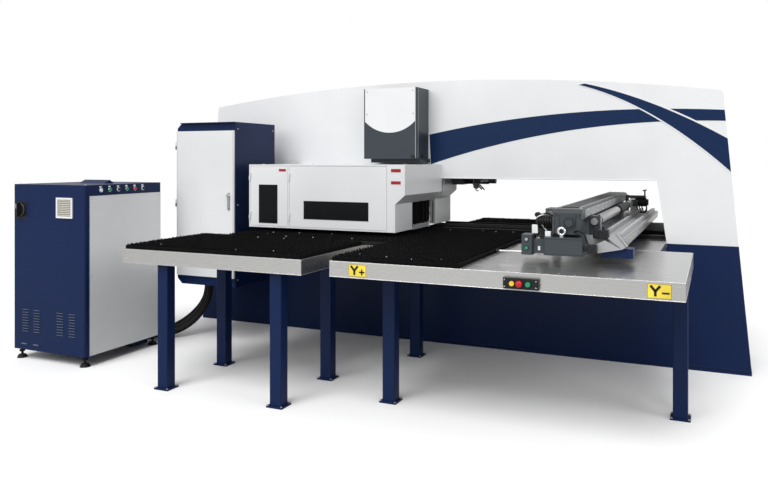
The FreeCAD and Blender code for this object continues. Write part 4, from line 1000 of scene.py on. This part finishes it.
# ---- cabinets ----------------------------------------------------------------------------------
def electrical_details():
    """The door's handle seat and lock, a drip edge, the door's folded edges and side screws."""
    x0, x1 = -1.676, -1.099
    front = -1.100
    blocks("cabinet_handle_seat", [((x1 - 0.062, front - 0.0012, 1.080),
                                    (x1 - 0.038, front + 0.001, 1.220))], "light_grey",
           "cabinet_door", 0.0005)
    rods("cabinet_handle_lock", [((x1 - 0.050, front - 0.019, 1.196),
                                  (x1 - 0.050, front - 0.022, 1.196), 0.008)], "bright",
         "door_handle")
    blocks("cabinet_drip_edge", [((x0 + 0.045, -1.106, 1.779), (x1 + 0.004, -1.080, 1.785))],
           "navy")
    blocks("cabinet_door_fold", [((x0 + 0.014, front - 0.0008, 0.546),
                                  (x0 + 0.0152, front, 1.706)),
                                 ((x1 - 0.0152, front - 0.0008, 0.546),
                                  (x1 - 0.014, front, 1.706))], "light_grey", "cabinet_door",
           0.0002)
    screws("cabinet_side_screws", [(x1, y, z) for y in (-1.05, -0.54) for z in (0.52, 1.12, 1.73)],
           TO_RIGHT, 0.006, "steel")


def gland_nuts():
    """Hexagon gland nuts and rings where the hoses enter the two cabinets."""
    work = bmesh.new()
    for points, _ in HOSES.values():
        start, end = points[0], points[-1]
        add_rod(work, (start[0], start[1] - 0.002, start[2]),
                (start[0], start[1] + 0.020, start[2]), 0.0285, 6)
        add_rod(work, (end[0], end[1], end[2] - 0.022), (end[0], end[1], end[2] + 0.001),
                0.0262, 6)
        add_ring(work, (end[0], end[1], end[2] - 0.024), UP, 0.0230, 0.0025)
    from_bmesh("hose_gland_nuts", work, "black")


PBOX_LEFT, PBOX_RIGHT, PBOX_FACE = -2.410, -1.694, -2.050


def power_details():
    """Louvre lips with painted highlights and painted shadows under them, grille slats, the
    isolator's face with a painted highlight, lamp bezels, plates and panel trim.
    """
    lips = []
    painted_shadows = []
    for column in (0.097, 0.211, 0.444, 0.562):
        for row in range(9):
            x = PBOX_LEFT + column
            z = 0.205 + 0.020 * row
            lips.append(((x, PBOX_FACE - 0.005, z + 0.0045), (x + 0.062, PBOX_FACE, z + 0.0085)))
            painted_shadows.append(((x, PBOX_FACE - 0.0005, z - 0.0015), (x + 0.062, PBOX_FACE, z)))
    # Painted highlight: the lips take a lighter blue than the cabinet for the light they catch.
    blocks("power_louvre_lips", lips, "louvre", bevel=0.0012)
    # Painted shadow: a thin black strip under each louvre lip.
    blocks("power_louvre_painted_shadows", painted_shadows, "black", bevel=0.0002)
    slats = bmesh.new()
    for row in range(9):
        z = 1.0815 + 0.013 * row
        add_sheet(slats, [(-1.952, PBOX_FACE - 0.0075, z - 0.004),
                          (-1.826, PBOX_FACE - 0.0075, z - 0.004),
                          (-1.826, PBOX_FACE - 0.0020, z + 0.0065),
                          (-1.952, PBOX_FACE - 0.0020, z + 0.0065)], (0, -0.0006, 0.0012))
    from_bmesh("power_grille_slats", slats, "beige")
    blocks("power_grille_back", [((-1.953, PBOX_FACE + 0.0025, 1.076),
                                  (-1.825, PBOX_FACE + 0.0040, 1.194))], "grey")
    switch_x, switch_z = PBOX_LEFT + 0.076, 1.112
    blocks("switch_plate", [((switch_x - 0.060, PBOX_FACE - 0.002, switch_z - 0.066),
                             (switch_x + 0.060, PBOX_FACE - 0.0002, switch_z + 0.060))], "black",
           bevel=0.0008)
    # Painted highlight: a light grey bar across the switch grip.
    blocks("switch_grip_painted_highlight", [((switch_x - 0.0035, PBOX_FACE - 0.0452, switch_z + 0.010),
                               (switch_x + 0.0035, PBOX_FACE - 0.0436, switch_z + 0.046))],
           "light_grey", "main_switch", 0.0005)
    rings("switch_ring", [(switch_x, PBOX_FACE - 0.0115, switch_z)], TO_BACK, 0.0465, 0.003,
          "grey", "main_switch")
    blocks("power_key_slots", [((x, PBOX_FACE - 0.003, 0.113), (x + 0.052, PBOX_FACE, 0.122))
                               for x in (-2.325, -2.205)], "louvre")
    strip_z = 1.262
    places = [-1.900 + 0.086 * k for k in range(6)]
    rings("lamp_bezels", [(PBOX_RIGHT + 0.002, y, strip_z) for y in places], TO_RIGHT, 0.0135,
          0.0022, "bright")
    blocks("lamp_name_plates", [((PBOX_RIGHT, y - 0.016, strip_z + 0.019),
                                 (PBOX_RIGHT + 0.0012, y + 0.006, strip_z + 0.029))
                                for y in places], "lamp", bevel=0.0004)
    for k in (2, 5):
        rods("dark_lamp_cap_" + str(k), [((PBOX_RIGHT + 0.0055, places[k], strip_z),
                                          (PBOX_RIGHT + 0.0085, places[k], strip_z), 0.0112)],
             "black")
    proud = PBOX_RIGHT + 0.0055
    blocks("power_panel_trim", [((PBOX_RIGHT, -2.0125, 0.078), (proud, -2.0105, 1.223)),
                                ((PBOX_RIGHT, -2.0120, 1.2215), (proud, -1.271, 1.2235))],
           "bright", bevel=0.0005)
    screws("power_panel_screws", [(PBOX_RIGHT + 0.004, y, z) for y in (-1.995, -1.290)
                                  for z in (0.100, 0.650, 1.200)], TO_RIGHT, 0.0045,
           "steel")
    screws("power_top_screws", [(x, y, 1.301) for x in (-2.38, -1.73) for y in (-2.01, -1.31)],
           UP, 0.006, "steel")


electrical_details()
gland_nuts()
power_details()


# ---- turrets and frame -------------------------------------------------------------------------
TURRET_X = -0.450
STATIONS = 20


def turret_ring(radius, z, turn=0.0):
    """One place for each station, on a circle round the turrets' axis."""
    angles = [2 * math.pi * k / STATIONS + turn for k in range(STATIONS)]
    return [(TURRET_X + radius * math.cos(angle), radius * math.sin(angle), z)
            for angle in angles]


def turret_details():
    """Clamp screws, rim screws and the rings round the punch heads on the upper turret."""
    between = math.pi / STATIONS
    screws("upper_turret_screws", turret_ring(0.520, 1.068, between), UP, 0.010, "steel",
           "upper_turret")
    work = bmesh.new()
    for x, y, _ in turret_ring(0.560, 0, between):
        outward = Vector((x - TURRET_X, y, 0)).normalized()
        for z in (0.972, 1.054):
            seat = Vector((x, y, z))
            add_rod(work, seat - outward * 0.004, seat + outward * 0.003, 0.007, 14)
    from_bmesh("upper_turret_rim_screws", work, "black", "upper_turret")
    rings("punch_head_rings", turret_ring(0.450, 1.086), UP, 0.030, 0.004, "black",
          "upper_turret")


def frame_details():
    """Weld seams, and a bolted access plate on the back of the bridge frame."""
    faces = (FRONT_Y, BACK_Y)
    rods("throat_weld", [((THROAT_LEFT_X, y, 0.8885), (THROAT_LEFT_X, y, THROAT_TOP_Z), 0.004)
                         for y in faces]
         + [((THROAT_LEFT_X, y, THROAT_TOP_Z), (THROAT_RIGHT_X - 0.069, y, THROAT_TOP_Z), 0.004)
            for y in faces], "white", sides=10)
    low = FRAME_LOW.z
    reach = HALF_FOOT - 0.01
    rods("foot_weld", [((FRAME_MID_X - reach, y, low), (FRAME_MID_X + reach, y, low), 0.004)
                       for y in faces], "navy", sides=10)
    hex_bolts("rear_plate_bolts", [(x, BACK_Y, z) for x in (-0.75, -0.15, 0.45, 1.05, 1.65)
                                   for z in (1.55, 1.85)], TO_BACK, 0.014, "steel")
    blocks("rear_access_plate", [((-0.70, BACK_Y, 1.57), (1.60, BACK_Y + 0.005, 1.83))], "white",
           bevel=0.002)


turret_details()
frame_details()


# ---- studio ------------------------------------------------------------------------------------
def floor_look():
    """A white floor that bounces less light than it shows."""
    look = Look("floor_paint", (0.93, 0.93, 0.93), 0.6)
    mix = look.node("ShaderNodeMix", data_type="RGBA")
    mix.inputs["A"].default_value = (0.50, 0.50, 0.50, 1)
    mix.inputs["B"].default_value = (0.96, 0.96, 0.96, 1)
    look.join(look.node("ShaderNodeLightPath").outputs["Is Camera Ray"], mix.inputs["Factor"])
    look.join(mix.outputs["Result"], look.shader.inputs["Base Color"])
    return look.material


def studio():
    """A pale floor, a white surround and broad soft lights."""
    scene = bpy.context.scene
    scene.view_settings.view_transform = "Standard"
    data = bpy.data.meshes.new("floor")
    reach = 60
    data.from_pydata([(-reach, -reach, 0), (reach, -reach, 0), (reach, reach, 0),
                      (-reach, reach, 0)], [], [(0, 1, 2, 3)])
    floor = bpy.data.objects.new("floor", data)
    scene.collection.objects.link(floor)
    data.materials.append(floor_look())
    world = bpy.data.worlds.new("studio")
    scene.world = world
    world.use_nodes = True
    nodes, links = world.node_tree.nodes, world.node_tree.links
    background = nodes["Background"]
    background.inputs["Color"].default_value = (1, 1, 1, 1)
    seen = nodes.new("ShaderNodeLightPath")
    strength = nodes.new("ShaderNodeMapRange")
    strength.inputs["To Min"].default_value = 0.62
    strength.inputs["To Max"].default_value = 1.0
    links.new(seen.outputs["Is Camera Ray"], strength.inputs["Value"])
    links.new(strength.outputs["Result"], background.inputs["Strength"])
    add_light("overhead", "SUN", (0.4, -4.0, 6.0), (0.3, 0, 0), 1.9, math.radians(35))
    add_light("key", "AREA", (-2.5, -8.5, 5.0), (0.3, 0, 0.9), 190, 4.0)
    add_light("side", "AREA", (8.0, -3.0, 4.0), (1.0, 0, 0.9), 120, 4.0)


def add_light(name, kind, place, target, power, spread):
    """A lamp at place that looks at target; spread is the sun's angle or the area's side."""
    light = bpy.data.lights.new(name, kind)
    light.energy = power
    if kind == "SUN":
        light.angle = spread
    else:
        light.size = spread
    lamp = bpy.data.objects.new(name, light)
    lamp.location = place
    aim = Vector(target) - Vector(place)
    lamp.rotation_euler = aim.to_track_quat("-Z", "Y").to_euler()
    bpy.context.scene.collection.objects.link(lamp)


studio()


def corners(box_pair):
    """A bounding box as plain lists of numbers."""
    return [list(corner) for corner in box_pair]
